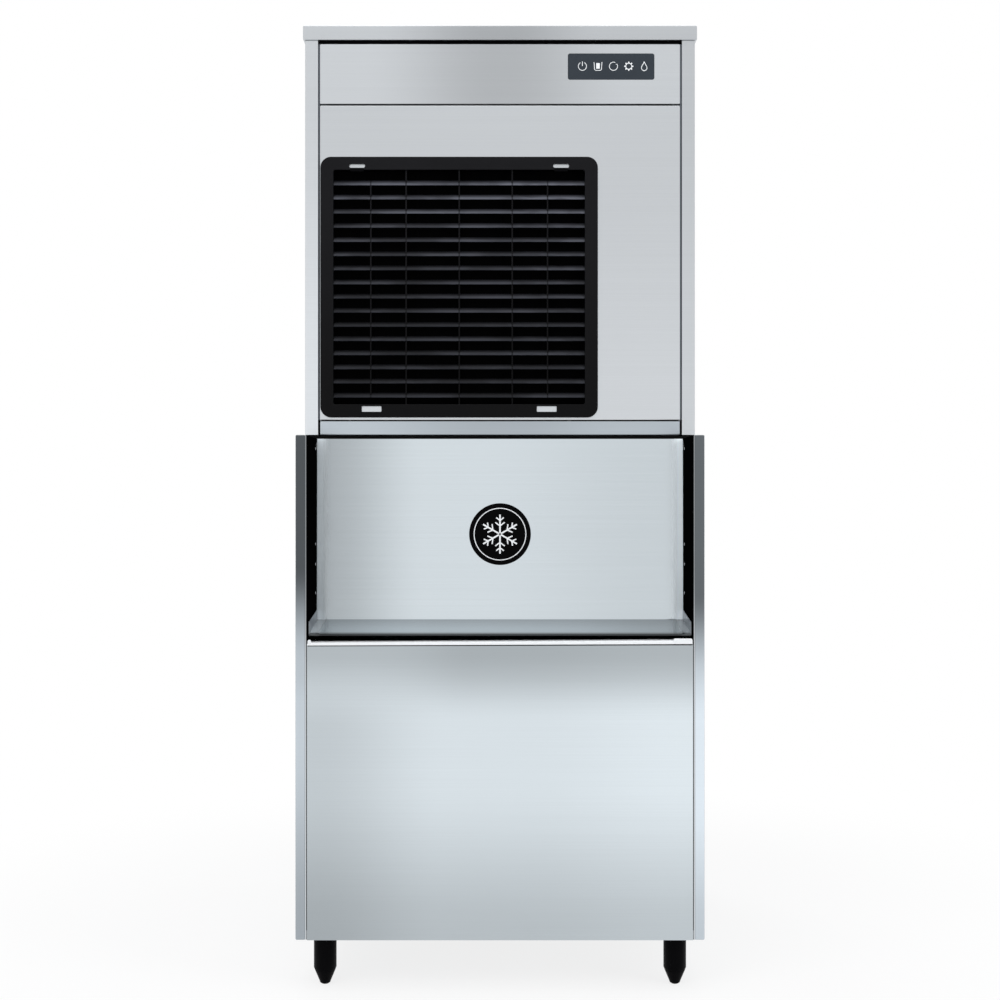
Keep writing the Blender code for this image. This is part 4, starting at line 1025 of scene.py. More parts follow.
def lathe(
    name: str, profile: Sequence[Point2], at: Point3, aim: Aim = Aim.UP, steps: int = 64, flutes: float = 0.0
) -> bpy.types.Object:
    """A turned piece.

    Args:
        name: the piece's name.
        profile: closed outline as (radius, height) pairs.
        at: foot of the axis.
        aim: where the height points.
        steps: facets round the axis.
        flutes: depth of the grips in its widest part, one for every four steps.

    Returns:
        The object.
    """
    shape = bmesh.new()
    widest = max(radius for radius, _ in profile) * 0.98
    rings = []
    for step in range(steps):
        turn = Matrix.Rotation(2 * math.pi * step / steps, 3, "Z")
        sunk = flutes if step % 4 in (0, 1) else 0.0
        points = [(radius - sunk if radius > widest else radius, height) for radius, height in profile]
        rings.append([shape.verts.new(turn @ Vector((radius, 0.0, height))) for radius, height in points])
    for ring, after in ringed(rings):
        for (low, high), (next_low, next_high) in zip(ringed(ring), ringed(after)):
            shape.faces.new((low, next_low, next_high, high))
    bmesh.ops.remove_doubles(shape, verts=shape.verts, dist=MERGE)
    bmesh.ops.dissolve_degenerate(shape, edges=shape.edges, dist=MERGE)
    bmesh.ops.recalc_face_normals(shape, faces=shape.faces)
    shape.transform(Matrix.Translation(at) @ Matrix.Rotation(aim.value * math.pi / 2, 4, "X"))
    return from_shape(name, shape)


def plate(
    name: str, loops: Sequence[Sequence[Point2]], front: float, back: float, edge: float = 0.0
) -> bpy.types.Object:
    """An upright plate with holes and rounded edges, facing -Y.

    Args:
        name: the piece's name.
        loops: outlines and holes as (x, z) points.
        front: y of its front face.
        back: y of its rear face.
        edge: radius of its edges.

    Returns:
        The object.
    """
    outline = bpy.data.curves.new(name, "CURVE")
    outline.dimensions = "2D"
    outline.fill_mode = "BOTH"
    outline.extrude = (back - front) / 2 - edge
    outline.bevel_depth = edge
    outline.bevel_resolution = 3
    outline.offset = -edge
    for loop in loops:
        spline = outline.splines.new("POLY")
        spline.points.add(len(loop) - 1)
        spline.use_cyclic_u = True
        for point, (x, z) in zip(spline.points, loop):
            point.co = (x, z, 0.0, 1.0)
    shape = bmesh.new()
    drained(linked(name, outline), shape)
    bpy.data.curves.remove(outline)
    shape.transform(Matrix.Translation((0, (front + back) / 2, 0)) @ Matrix.Rotation(math.pi / 2, 4, "X"))
    bmesh.ops.remove_doubles(shape, verts=shape.verts, dist=MERGE)
    bmesh.ops.recalc_face_normals(shape, faces=shape.faces)
    piece = from_shape(name, shape, PLATE_ANGLE)
    if edge:
        weigh_normals(piece)
    return piece


def strip(name: str, section: Sequence[Point2], start: float, end: float) -> bpy.types.Object:
    """A straight moulding along X.

    Args:
        name: the piece's name.
        section: its outline as (y, z) points.
        start: x of one end.
        end: x of the other end.

    Returns:
        The object.
    """
    shape = bmesh.new()
    rows = [[shape.verts.new((x, y, z)) for y, z in section] for x in (start, end)]
    bridged(shape, *rows)
    for row in rows:
        shape.faces.new(row)
    bmesh.ops.recalc_face_normals(shape, faces=shape.faces)
    return from_shape(name, shape)


def arc(x: float, z: float, radius: float, start: float, end: float, steps: int) -> list[Point2]:
    """Points on an arc, with angles in degrees from +X towards +Z."""
    angles = [math.radians(start + (end - start) * step / steps) for step in range(steps + 1)]
    return [(x + radius * math.cos(angle), z + radius * math.sin(angle)) for angle in angles]


def corner_points(low: Point2, high: Point2, radius: float, steps: int = 6) -> list[Point2]:
    """A rectangle's outline with round corners.

    Args:
        low: lowest corner.
        high: highest corner.
        radius: of the corners.
        steps: points on each corner.

    Returns:
        The outline's points.
    """
    points = []
    middle = ((low[0] + high[0]) / 2, (low[1] + high[1]) / 2)
    corners = ((high[0], high[1]), (low[0], high[1]), (low[0], low[1]), (high[0], low[1]))
    for quarter, (x, z) in enumerate(corners):
        centre = (x - math.copysign(radius, x - middle[0]), z - math.copysign(radius, z - middle[1]))
        points += arc(*centre, radius, 90.0 * quarter, 90.0 * quarter + 90.0, steps)
    return points


def centred(x: float, z: float, width: float, height: float, radius: float) -> list[Point2]:
    """A rounded rectangle round a middle point."""
    return corner_points((x - width / 2, z - height / 2), (x + width / 2, z + height / 2), radius)


def stroke(path: Sequence[Point2], width: float) -> list[Point2]:
    """The outline of an open line of a given width.

    Args:
        path: its points.
        width: of the line.

    Returns:
        The closed outline.
    """
    left, right = [], []
    for index, point in enumerate(path):
        before = Vector(path[max(index - 1, 0)])
        after = Vector(path[min(index + 1, len(path) - 1)])
        along = (after - before).normalized()
        side = Vector((-along.y, along.x)) * width / 2
        left.append(tuple(Vector(point) + side))
        right.append(tuple(Vector(point) - side))
    return left + right[::-1]


def front_middle(low: Vector, high: Vector) -> Point3:
    """The middle of a box's front face."""
    return ((low.x + high.x) / 2, low.y, (low.z + high.z) / 2)


# Geometry Nodes recipes


class Recipe:
    """A Geometry Nodes tree with named inputs, run once on an object and turned into a plain mesh."""

    def __init__(self, name: str) -> None:
        """Starts a tree with its geometry in and out.

        Args:
            name: the tree's name.
        """
        self.tree = bpy.data.node_groups.new(name, "GeometryNodeTree")
        for way in ("INPUT", "OUTPUT"):
            self.tree.interface.new_socket("Geometry", in_out=way, socket_type="NodeSocketGeometry")
        self.graph = Graph(self.tree)
        self.source = self.tree.nodes.new("NodeGroupInput")
        self.keys: dict[str, str] = {}

    def given(self, kinds: dict[str, str]) -> dict[str, bpy.types.NodeSocket]:
        """Adds named inputs.

        Args:
            kinds: the kind of each, by its name.

        Returns:
            The sockets that carry them inside the tree, by name.
        """
        for name, kind in kinds.items():
            socket = self.tree.interface.new_socket(name, in_out="INPUT", socket_type=f"NodeSocket{kind}")
            self.keys[name] = socket.identifier
        sockets = {out.identifier: out for out in self.source.outputs}
        return {name: sockets[self.keys[name]] for name in kinds}

    def end(self, instances: Wire) -> None:
        """Realizes the instances, sets the finish and ends the tree.

        Args:
            instances: what the tree has placed.
        """
        inputs = {"Geometry": self.graph.out("GeometryNodeRealizeInstances", None, {"Geometry": instances})}
        inputs["Material"] = self.given({"Finish": "Material"})["Finish"]
        self.graph.node("NodeGroupOutput", None, {0: self.graph.out("GeometryNodeSetMaterial", None, inputs)})

    def run(self, name: str, mesh: bpy.types.Mesh, values: dict[str, object]) -> bpy.types.Object:
        """Runs the tree on a mesh.

        Args:
            name: the result's name.
            mesh: what the tree starts from.
            values: the named inputs.

        Returns:
            A plain object with no modifier.
        """
        holder = linked(f"{name}_seed", mesh)
        modifier = holder.modifiers.new("Recipe", "NODES")
        modifier.node_group = self.tree
        for key, value in values.items():
            modifier[self.keys[key]] = value
        shape = bmesh.new()
        drained(holder, shape)
        return from_shape(name, shape, PLATE_ANGLE)


# Sub-assemblies


@dataclass
class SubAssembly:
    """Base of the sub-assemblies: puts finished pieces on the machine."""

    made: ClassVar[list[str]] = []

    def build(self) -> None:
        """Builds and dresses the pieces."""
        raise NotImplementedError

    def commit(
        self, piece: bpy.types.Object, finish: Finish, replaces: Iterable[str] = (), body: str = "cabinet"
    ) -> bpy.types.Object:
        """Gives a piece its finish and its body.

        Args:
            piece: the finished mesh object at the origin.
            finish: its finish.
            replaces: CAD nodes that it stands for.
            body: the CAD body that it moves with.

        Returns:
            The piece.
        """
        piece.data.materials.clear()
        piece.data.materials.append(finish.material())
        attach(piece, body)
        names = list(replaces)
        if names:
            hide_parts(*names)
        self.made.append(piece.name)
        LOG.info("%s: %d faces on %s", piece.name, len(piece.data.polygons), body)
        return piece

    def soft_copy(self, node: str, finish: Finish, angle: float = SOFT_ANGLE, edge: float = 0.0) -> bpy.types.Object:
        """A merged copy of a CAD node with soft shading, which stands for the node.

        Args:
            node: the CAD node.
            finish: its finish.
            angle: edges sharper than this many degrees stay sharp.
            edge: width of a small rounding on the sharp edges, or 0.

        Returns:
            The piece.
        """
        shape = bmesh.new()
        shape.from_mesh(NODES[node].data)
        bmesh.ops.remove_doubles(shape, verts=shape.verts, dist=NODE_MERGE)
        if edge:
            flat = math.radians(FLAT_ANGLE)
            bmesh.ops.dissolve_limit(shape, angle_limit=flat, verts=shape.verts, edges=shape.edges)
        piece = from_shape(f"{node}_dressed", shape, angle)
        if edge:
            bevel = piece.modifiers.new("Edge", "BEVEL")
            bevel.width = edge
            bevel.segments = 2
            bevel.limit_method = "ANGLE"
            bevel.angle_limit = math.radians(angle)
        weigh_normals(piece)
        return self.commit(piece, finish, [node], NODES[node]["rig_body"])

    def dress(self, finishes: dict[str, Finish], angle: float = SOFT_ANGLE) -> None:
        """Makes soft copies of several CAD nodes.

        Args:
            finishes: the finish of each node.
            angle: edges sharper than this many degrees stay sharp.
        """
        for node, finish in finishes.items():
            self.soft_copy(node, finish, angle)


@dataclass
class BladeRow(SubAssembly):
    """An even row of flat rounded blades, such as slats, bars or fins."""

    name: str
    finish: Finish
    count: int
    first: Point3
    step: Point3
    start: Point3
    end: Point3
    chord: float
    thick: float
    edge: float
    turn: Point3 = (0.0, 0.0, 0.0)

    def build(self) -> None:
        """Makes the row in its finish."""
        kinds = {"Count": "Int", "Chord": "Float", "Thickness": "Float", "Edge radius": "Float"}
        kinds |= dict.fromkeys(("First", "Step", "Start", "End", "Turn"), "Vector")
        recipe = Recipe("blade_row")
        out, at = recipe.graph.out, recipe.given(kinds)
        ends = {"Start": at["Start"], "End": at["End"]}
        line = out("GeometryNodeCurvePrimitiveLine", {"mode": "POINTS"}, ends)
        sides = {"Width": at["Chord"], "Height": at["Thickness"]}
        section = out("GeometryNodeCurvePrimitiveQuadrilateral", {"mode": "RECTANGLE"}, sides)
        corners = {"Curve": section, "Count": 3, "Radius": at["Edge radius"]}
        rounded = out("GeometryNodeFilletCurve", {"mode": "POLY"}, corners)
        blade = out("GeometryNodeCurveToMesh", None, {"Curve": line, "Profile Curve": rounded, "Fill Caps": True})
        spread = {"Count": at["Count"], "Start Location": at["First"], "Offset": at["Step"]}
        row = out("GeometryNodeMeshLine", {"mode": "OFFSET"}, spread)
        placed = {"Points": row, "Instance": blade, "Rotation": at["Turn"]}
        recipe.end(out("GeometryNodeInstanceOnPoints", None, placed))
        values = {
            "Count": self.count,
            "First": self.first,
            "Step": self.step,
            "Start": self.start,
            "End": self.end,
            "Chord": self.chord,
            "Thickness": self.thick,
            "Edge radius": self.edge,
            "Turn": self.turn,
            "Finish": self.finish.material(),
        }
        self.commit(recipe.run(self.name, bpy.data.meshes.new("row"), values), self.finish)


@dataclass
class Fasteners(SubAssembly):
    """Pan-head screws with a cross recess."""

    radius: float = 0.0042
    rise: float = 0.0021
    recess: float = 0.0024
    arm_share: float = 0.26
    recess_draft: float = 0.7
    recess_floor: float = 0.35
    dome: tuple[Point2, ...] = ((1.0, 0.0), (1.0, 0.35), (0.92, 0.65), (0.72, 0.90), (0.62, 1.0))
    facets: int = 16
    seed: int = 7
    panel_rows: int = 5

    def head(self) -> bpy.types.Object:
        """One screw head, whose base lies at the origin and whose top points to +Z.

        Returns:
            The head.
        """
        shape, top, rows = bmesh.new(), self.rise, []
        for share, height in self.dome:
            ring = arc(0.0, 0.0, self.radius * share, 0.0, 360.0, self.facets)[:-1]
            rows.append([shape.verts.new((x, y, top * height)) for x, y in ring])
        for low, high in zip(rows, rows[1:]):
            bridged(shape, low, high)
        shape.faces.new(rows[0][::-1])
        arm, half = self.recess, self.recess * self.arm_share
        cross = [(half, arm), (-half, arm), (-half, half), (-arm, half), (-arm, -half), (-half, -half)]
        cross += [(-x, -y) for x, y in cross]
        mouth = [shape.verts.new((x, y, top)) for x, y in cross]
        draft, floor = self.recess_draft, top * self.recess_floor
        well = [shape.verts.new((x * draft, y * draft, floor)) for x, y in cross]
        edges = [shape.edges.new(pair) for pair in ringed(mouth)]
        edges += [shape.edges.get(pair) for pair in ringed(rows[-1])]
        bmesh.ops.triangle_fill(shape, use_beauty=True, edges=edges)
        bridged(shape, mouth, well)
        shape.faces.new(well)
        bmesh.ops.recalc_face_normals(shape, faces=shape.faces)
        return from_shape("screw_head", shape, SCREW_ANGLE)

    def place(self, name: str, points: Sequence[Point3], facing: Point3) -> None:
        """Puts screws at points of the cabinet, each turned about its own axis by a seeded angle.

        Args:
            name: the piece's name.
            points: where the heads sit.
            facing: turn of the heads from +Z, in radians.
        """
        recipe = Recipe("fasteners")
        out, at = recipe.graph.out, recipe.given({"Head": "Object", "Facing": "Vector", "Seed": "Int"})
        shape = out("GeometryNodeObjectInfo", None, {"Object": at["Head"], "As Instance": True}, "Geometry")
        inputs = {"Points": recipe.source.outputs[0], "Instance": shape, "Rotation": at["Facing"]}
        placed = out("GeometryNodeInstanceOnPoints", None, inputs)
        inputs = {"Min": 0.0, "Max": math.pi, "Seed": at["Seed"]}
        angle = out("FunctionNodeRandomValue", {"data_type": "FLOAT"}, inputs, 1)
        inputs = {"Instances": placed, "Rotation": out("ShaderNodeCombineXYZ", None, {2: angle})}
        recipe.end(out("GeometryNodeRotateInstances", None, inputs))
        head = self.head()
        seeds = bpy.data.meshes.new(f"{name}_points")
        seeds.from_pydata([Vector(point) for point in points], [], [])
        finish = Finishes.ZINC_FINE
        values = {"Head": head, "Facing": facing, "Seed": self.seed, "Finish": finish.material()}
        piece = recipe.run(name, seeds, values)
        bpy.data.objects.remove(head)
        self.commit(piece, finish)

    def round_panel(self, name: str, node: str, margin: Point2, middle: float) -> None:
        """Puts screws along the edges of a rear panel.

        Args:
            name: the piece's name.
            node: the panel.
            margin: distance of the screws from its sides and from its ends.
            middle: x of the screws beside the middle.
        """
        low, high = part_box(node)
        span = high.z - low.z - 2 * margin[1]
        rows = [low.z + margin[1] + span * row / (self.panel_rows - 1) for row in range(self.panel_rows)]
        points = [(x, high.y, z) for x in (low.x + margin[0], high.x - margin[0]) for z in rows]
        points += [(x, high.y, z) for x in (-middle, 0.0, middle) for z in (rows[0], rows[-1])]
        self.place(name, points, (-math.pi / 2, 0.0, 0.0))


@dataclass(frozen=True)
class Lamp:
    """A soft rectangular lamp."""

    name: str
    at: Point3
    target: Point3
    size: Point2
    power: float
    mirrored: bool = False

    def hang(self) -> None:
        """Adds the lamp to the scene, turned to its target."""
        light = bpy.data.lights.new(self.name, "AREA")
        light.shape = "RECTANGLE"
        light.size, light.size_y = self.size
        light.energy = self.power
        lamp = linked(self.name, light)
        lamp.location = self.at
        lamp.visible_glossy = self.mirrored
        lamp.rotation_euler = (Vector(self.target) - Vector(self.at)).to_track_quat("-Z", "Y").to_euler()


@dataclass
class Studio(SubAssembly):
    """Camera, lamps, pale floor and white surroundings."""

    camera_at: Point3 = (0.0, -3.200, 0.912)
    lens: float = 54.32
    sensor: float = 36.0
    sight: float = 60.0
    ambient: float = 0.62
    ambient_colour: tuple[float, ...] = (0.98, 0.99, 1.0, 1.0)
    white: tuple[float, ...] = (1.0, 1.0, 1.0, 1.0)
    floor_half: float = 9.0
    floor_colour: tuple[float, ...] = (0.90, 0.90, 0.905, 1.0)
    floor_whitens: tuple[float, ...] = (0.7, 1.7, 0.80, 1.0)
    lamps: tuple[Lamp, ...] = (
        Lamp("key", (-1.7, -2.7, 2.9), (0.0, 0.0, 1.0), (2.4, 2.0), 34.0),
        Lamp("side", (2.6, -1.9, 1.7), (0.0, 0.0, 1.0), (1.4, 2.2), 26.0),
        Lamp("rear", (-1.2, 2.6, 2.6), (0.0, 0.2, 1.0), (1.8, 1.8), 26.0),
        Lamp("above", (0.2, -0.5, 3.6), (0.0, -0.1, 0.0), (2.6, 1.8), 26.0, True),
    )

    def build(self) -> None:
        """Sets up the camera, the world, the floor and the lamps."""
        scene = bpy.context.scene
        scene.view_settings.view_transform = "Standard"
        lens = bpy.data.cameras.new("camera")
        lens.lens = self.lens
        lens.sensor_width = self.sensor
        lens.clip_end = self.sight
        scene.camera = linked("camera", lens)
        scene.camera.location = self.camera_at
        scene.camera.rotation_euler = (math.pi / 2, 0.0, 0.0)
        scene.world = bpy.data.worlds.new("surroundings")
        self._world(cleared(scene.world))
        self._floor()
        for lamp in self.lamps:
            lamp.hang()

    @staticmethod
    def _seen(graph: Graph, first: str, *others: str) -> Wire:
        """1 for rays of some kinds, else 0.

        Args:
            graph: the graph.
            first: name of one kind's output.
            others: names of the other kinds' outputs.

        Returns:
            The wire.
        """
        path = graph.node("ShaderNodeLightPath")
        seen = Wire(graph, path.outputs[first])
        for ray in others:
            seen = seen + Wire(graph, path.outputs[ray])
        return seen.ramp(0.0, 1.0)

    def _world(self, graph: Graph) -> None:
        """White surroundings for the eye and for reflections, and a softer level for the rest.

        Args:
            graph: the world's graph.
        """
        seen = self._seen(graph, "Is Camera Ray", "Is Glossy Ray", "Is Transmission Ray")
        inputs = {"Color": self.ambient_colour, "Strength": self.ambient}
        soft = graph.out("ShaderNodeBackground", None, inputs)
        white = graph.out("ShaderNodeBackground", None, {"Color": self.white, "Strength": 1.0})
        mixed = graph.out("ShaderNodeMixShader", None, {0: seen, 1: soft, 2: white})
        graph.node("ShaderNodeOutputWorld", None, {"Surface": mixed})

    def _floor(self) -> None:
        """A pale floor that keeps the machine's shadow and meets the white surroundings."""
        shape = bmesh.new()
        bmesh.ops.create_grid(shape, x_segments=2, y_segments=2, size=self.floor_half)
        floor = from_shape("floor", shape)
        material = bpy.data.materials.new("floor_white")
        graph = cleared(material)
        place = graph.out("ShaderNodeTexCoord", None, None, "Object")
        length = graph.out("ShaderNodeVectorMath", {"operation": "LENGTH"}, {0: place}, "Value")
        seen = self._seen(graph, "Is Camera Ray", "Is Glossy Ray") * length.ramp(*self.floor_whitens)
        matte = graph.out("ShaderNodeBsdfDiffuse", None, {"Color": self.floor_colour})
        white = graph.out("ShaderNodeEmission", None, {"Color": self.white, "Strength": 1.0})
        mixed = graph.out("ShaderNodeMixShader", None, {0: seen, 1: matte, 2: white})
        graph.node("ShaderNodeOutputMaterial", None, {"Surface": mixed})
        floor.data.materials.append(material)


@dataclass
class StorageBin(SubAssembly):
    """The insulated bin: shell, lid recess, liner, deck and legs."""

    screws: Fasteners = field(default_factory=lambda: Fasteners(0.0030, 0.0010, 0.0016))
    trim_screw_y: float = -0.262
    trim_screw_z: tuple[float, ...] = (1.012, 0.826, 0.787, 0.731)
    trim_rise: float = 0.0017
    frame_edge: float = 0.0012
    rear_margin: Point2 = (0.010, 0.012)
    rear_middle: float = 0.18
    leg_radius: float = 0.0213
    leg_bore: float = 0.0083
    leg_top: float = 0.0947
    foot_top: float = 0.0265
    cone_top: float = 0.0312
    cone_slope: float = 0.43
    stem_radius: float = 0.0080
    stem_top: float = 0.0840
    neck_radius: float = 0.0105
    neck_top: float = 0.0057
    toe: tuple[Point2, ...] = ((0.0070, 0.0006), (0.0060, 0.0), (0.0, 0.0))
    shrink: float = 0.0008
    guard_height: float = 0.0056
    guard_rise: float = 0.0013
    guard_reach: float = 0.0330
    guard_ends: tuple[Point2, ...] = ((0.0072, 0.0050), (0.0360, 0.0074))
    guard_nose: tuple[Point2, ...] = ((0.0, 0.0030), (0.0006, 0.0014), (0.0018, 0.0004), (0.0034, 0.0))
    guard_slope: float = 0.0042
    foot_slope: float = 0.0028
    joint_height: float = 0.0012
    edge_width: float = 0.0018
    edge_depth: float = 0.0080
    drain_radius: float = 0.0105
    drain_bore: float = 0.0085
    rib_pitch: float = 0.0035
    rib_length: float = 0.0030

    def build(self) -> None:
        """Dresses the shell and builds the legs, the feet and the drain."""
        for side, finish in (("left", Finishes.LEFT_POST), ("right", Finishes.RIGHT_POST)):
            self.soft_copy(f"bin_{side}_side", finish)
            # The recess trim is black with no gloss, partly the trim's own colour and partly painted shade of the
            # deep recess
            trim = self.soft_copy(f"recess_trim_{side}", Finishes.BLACK_TRIM_AND_GAP_SHADE)
            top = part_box(f"recess_trim_{side}")[1].z
            for vert in trim.data.vertices:
                if vert.co.z > top - 0.0005:
                    vert.co.z = top + self.trim_rise
        self._front_panel()
        self._post_edges()
        self.dress({
            "bin_rear_panel": Finishes.ZINC,
            "bin_base_pan": Finishes.ZINC,
            "bin_top_deck": Finishes.ZINC,
            "bin_insulation": Finishes.FOAM,
            "bin_liner": Finishes.WHITE,
        })
        self.soft_copy("throat_frame", Finishes.BLACK, edge=self.frame_edge)
        for place in ("front_left", "front_right", "rear_left", "rear_right"):
            self._leg(place)
        self._drain()
        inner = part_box("recess_trim_left")[1].x
        for name, side in (("left", 1), ("right", -1)):
            points = [(side * inner, self.trim_screw_y, z) for z in self.trim_screw_z]
            self.screws.place(f"trim_screws_{name}", points, (0.0, side * math.pi / 2, 0.0))
        self.screws.round_panel("bin_rear_screws", "bin_rear_panel", self.rear_margin, self.rear_middle)

    def _front_panel(self) -> None:
        """The lower front with its white edge guard, and a black strip as painted shade in the gap under the guard.
        """
        panel = self.soft_copy("bin_front_panel", Finishes.PANEL_STEEL)
        low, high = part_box("bin_front_panel")
        joint = high.z - self.guard_height
        for vert in panel.data.vertices:
            edge = joint + self.foot_slope * (vert.co.x - low.x) / (high.x - low.x)
            if vert.co.y < low.y + 0.001 and vert.co.z > edge:
                vert.co.z = edge
        front, top = low.y + 0.0003, high.z + self.guard_rise
        start, end = low.x + self.shrink, high.x - self.shrink
        under, ledge, back = joint + self.joint_height, high.z + 0.0002, front + self.guard_reach
        section = [(front, under), *((front + y, top - z) for y, z in self.guard_nose)]
        section += [(back, top), (back, ledge), (front + 0.0060, ledge), (front + 0.0016, under)]
        guard = strip("edge_guard", section, start, end)
        for vert in guard.data.vertices:
            if vert.co.x > 0 and vert.co.z > top - 0.0032:
                vert.co.z += self.guard_slope
            elif vert.co.x > 0 and vert.co.z < under + 0.0001:
                vert.co.z += self.foot_slope
        ends = []
        for side, (width, rise) in zip((-1, 1), self.guard_ends):
            near, far = sorted((side * end, side * (high.x - width)))
            foot = under + 0.0010 + (self.foot_slope if side > 0 else 0.0)
            blob = corner_points((near, foot), (far, top + rise), 0.0030, 5)
            ends.append(plate(f"guard_end_{side}", [blob], front - 0.00025, front + 0.0070, 0.0012))
        self.commit(joined("edge_guard_trim", [guard, *ends]), Finishes.GUARD)
        near, far, over = front - 0.0001, front + 0.0012, under + 0.0002
        # Painted shade: a black strip in the gap under the guard
        gap_shade_strip = strip("guard_joint", [(near, joint), (near, over), (far, over), (far, joint)], start, end)
        for vert in gap_shade_strip.data.vertices:
            if vert.co.x > 0:
                vert.co.z += self.foot_slope
        self.commit(gap_shade_strip, Finishes.BLACK_TRIM_AND_GAP_SHADE)

    def _post_edges(self) -> None:
        """Light strips along the posts as painted highlights on their folded edges, and black strips as painted
        shade in the gaps beside the lower front.
        """
        edge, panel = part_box("bin_right_side"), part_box("bin_front_panel")
        front, inner = edge[0].y + 0.0002, edge[0].x
        for name, side in (("left", -1), ("right", 1)):
            # Painted highlight: a light strip on the post's inner edge
            near, far = sorted((side * (inner - self.edge_width), side * (inner + 0.0003)))
            outline = corner_points((near, edge[0].z + 0.0004), (far, edge[1].z - 0.0004), 0.0003, 1)
            edge_highlight = plate(f"post_edge_{name}", [outline], front, front + self.edge_depth, 0.0004)
            self.commit(edge_highlight, Finishes.POST_HIGHLIGHT_STEEL)
            # Painted shade: a black strip in the gap beside the lower front
            near, far = sorted((side * (panel[1].x - 0.0004), side * (inner - 0.0002)))
            outline = corner_points((near, edge[0].z + 0.001), (far, panel[1].z - 0.008), 0.0002, 1)
            joint = plate(f"post_joint_{name}", [outline], front + 0.0016, front + 0.0036)
            self.commit(joint, Finishes.BLACK_TRIM_AND_GAP_SHADE)

    def _leg(self, place: str) -> None:
        """A round leg with a small step over its screw-in foot.

        Args:
            place: which corner it stands at.
        """
        low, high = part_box(f"leg_{place}")
        at = ((low.x + high.x) / 2, (low.y + high.y) / 2, 0.0)
        r, top, foot, stem = self.leg_radius, self.leg_top, self.foot_top, self.stem_radius
        narrow, sole = r - (self.cone_top - foot - 0.0005) * self.cone_slope, foot + 0.0005
        tube = [(r - self.shrink, top), (r, top - self.shrink), (r, self.cone_top), (narrow, sole)]
        tube += [(self.leg_bore, sole), (self.leg_bore, top)]
        self.commit(lathe(f"leg_tube_{place}", tube, at), Finishes.BLACK, [f"leg_{place}"])
        neck, neck_top = self.neck_radius, self.neck_top
        cone = [(0.0, self.stem_top), (stem - 0.0006, self.stem_top), (stem, self.stem_top - 0.0006), (stem, foot)]
        cone += [(narrow - 0.0004, foot), (narrow - 0.0002, foot - 0.0005), (neck + 0.0004, neck_top + 0.0004)]
        cone += [(neck, neck_top - 0.0004), (neck - self.shrink, 0.0025), *self.toe]
        self.commit(lathe(f"foot_cone_{place}", cone, at), Finishes.BLACK, [f"foot_{place}"])

    def _drain(self) -> None:
        """Drain stub with hose ribs on its free end."""
        low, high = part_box("drain_outlet")
        length, shoulder = high.y - low.y, (high.x - low.x) / 2
        radius, bore = self.drain_radius, self.drain_bore
        profile = [(bore, 0.0), (shoulder - 0.0003, 0.0), (shoulder, 0.0002), (shoulder, 0.0010)]
        profile += [(shoulder - 0.0003, 0.0012), (radius, 0.0012), (radius, length - 0.0145)]
        for rib in (2, 1, 0):
            start = length - self.rib_length - rib * self.rib_pitch
            profile += [(radius - self.shrink, start - self.rib_length), (radius, start)]
        profile += [(radius - 0.0012, length), (bore, length)]
        stub = lathe("drain_stub", profile, front_middle(low, high), Aim.BACK, 48)
        self.commit(stub, Finishes.WHITE, ["drain_outlet"])


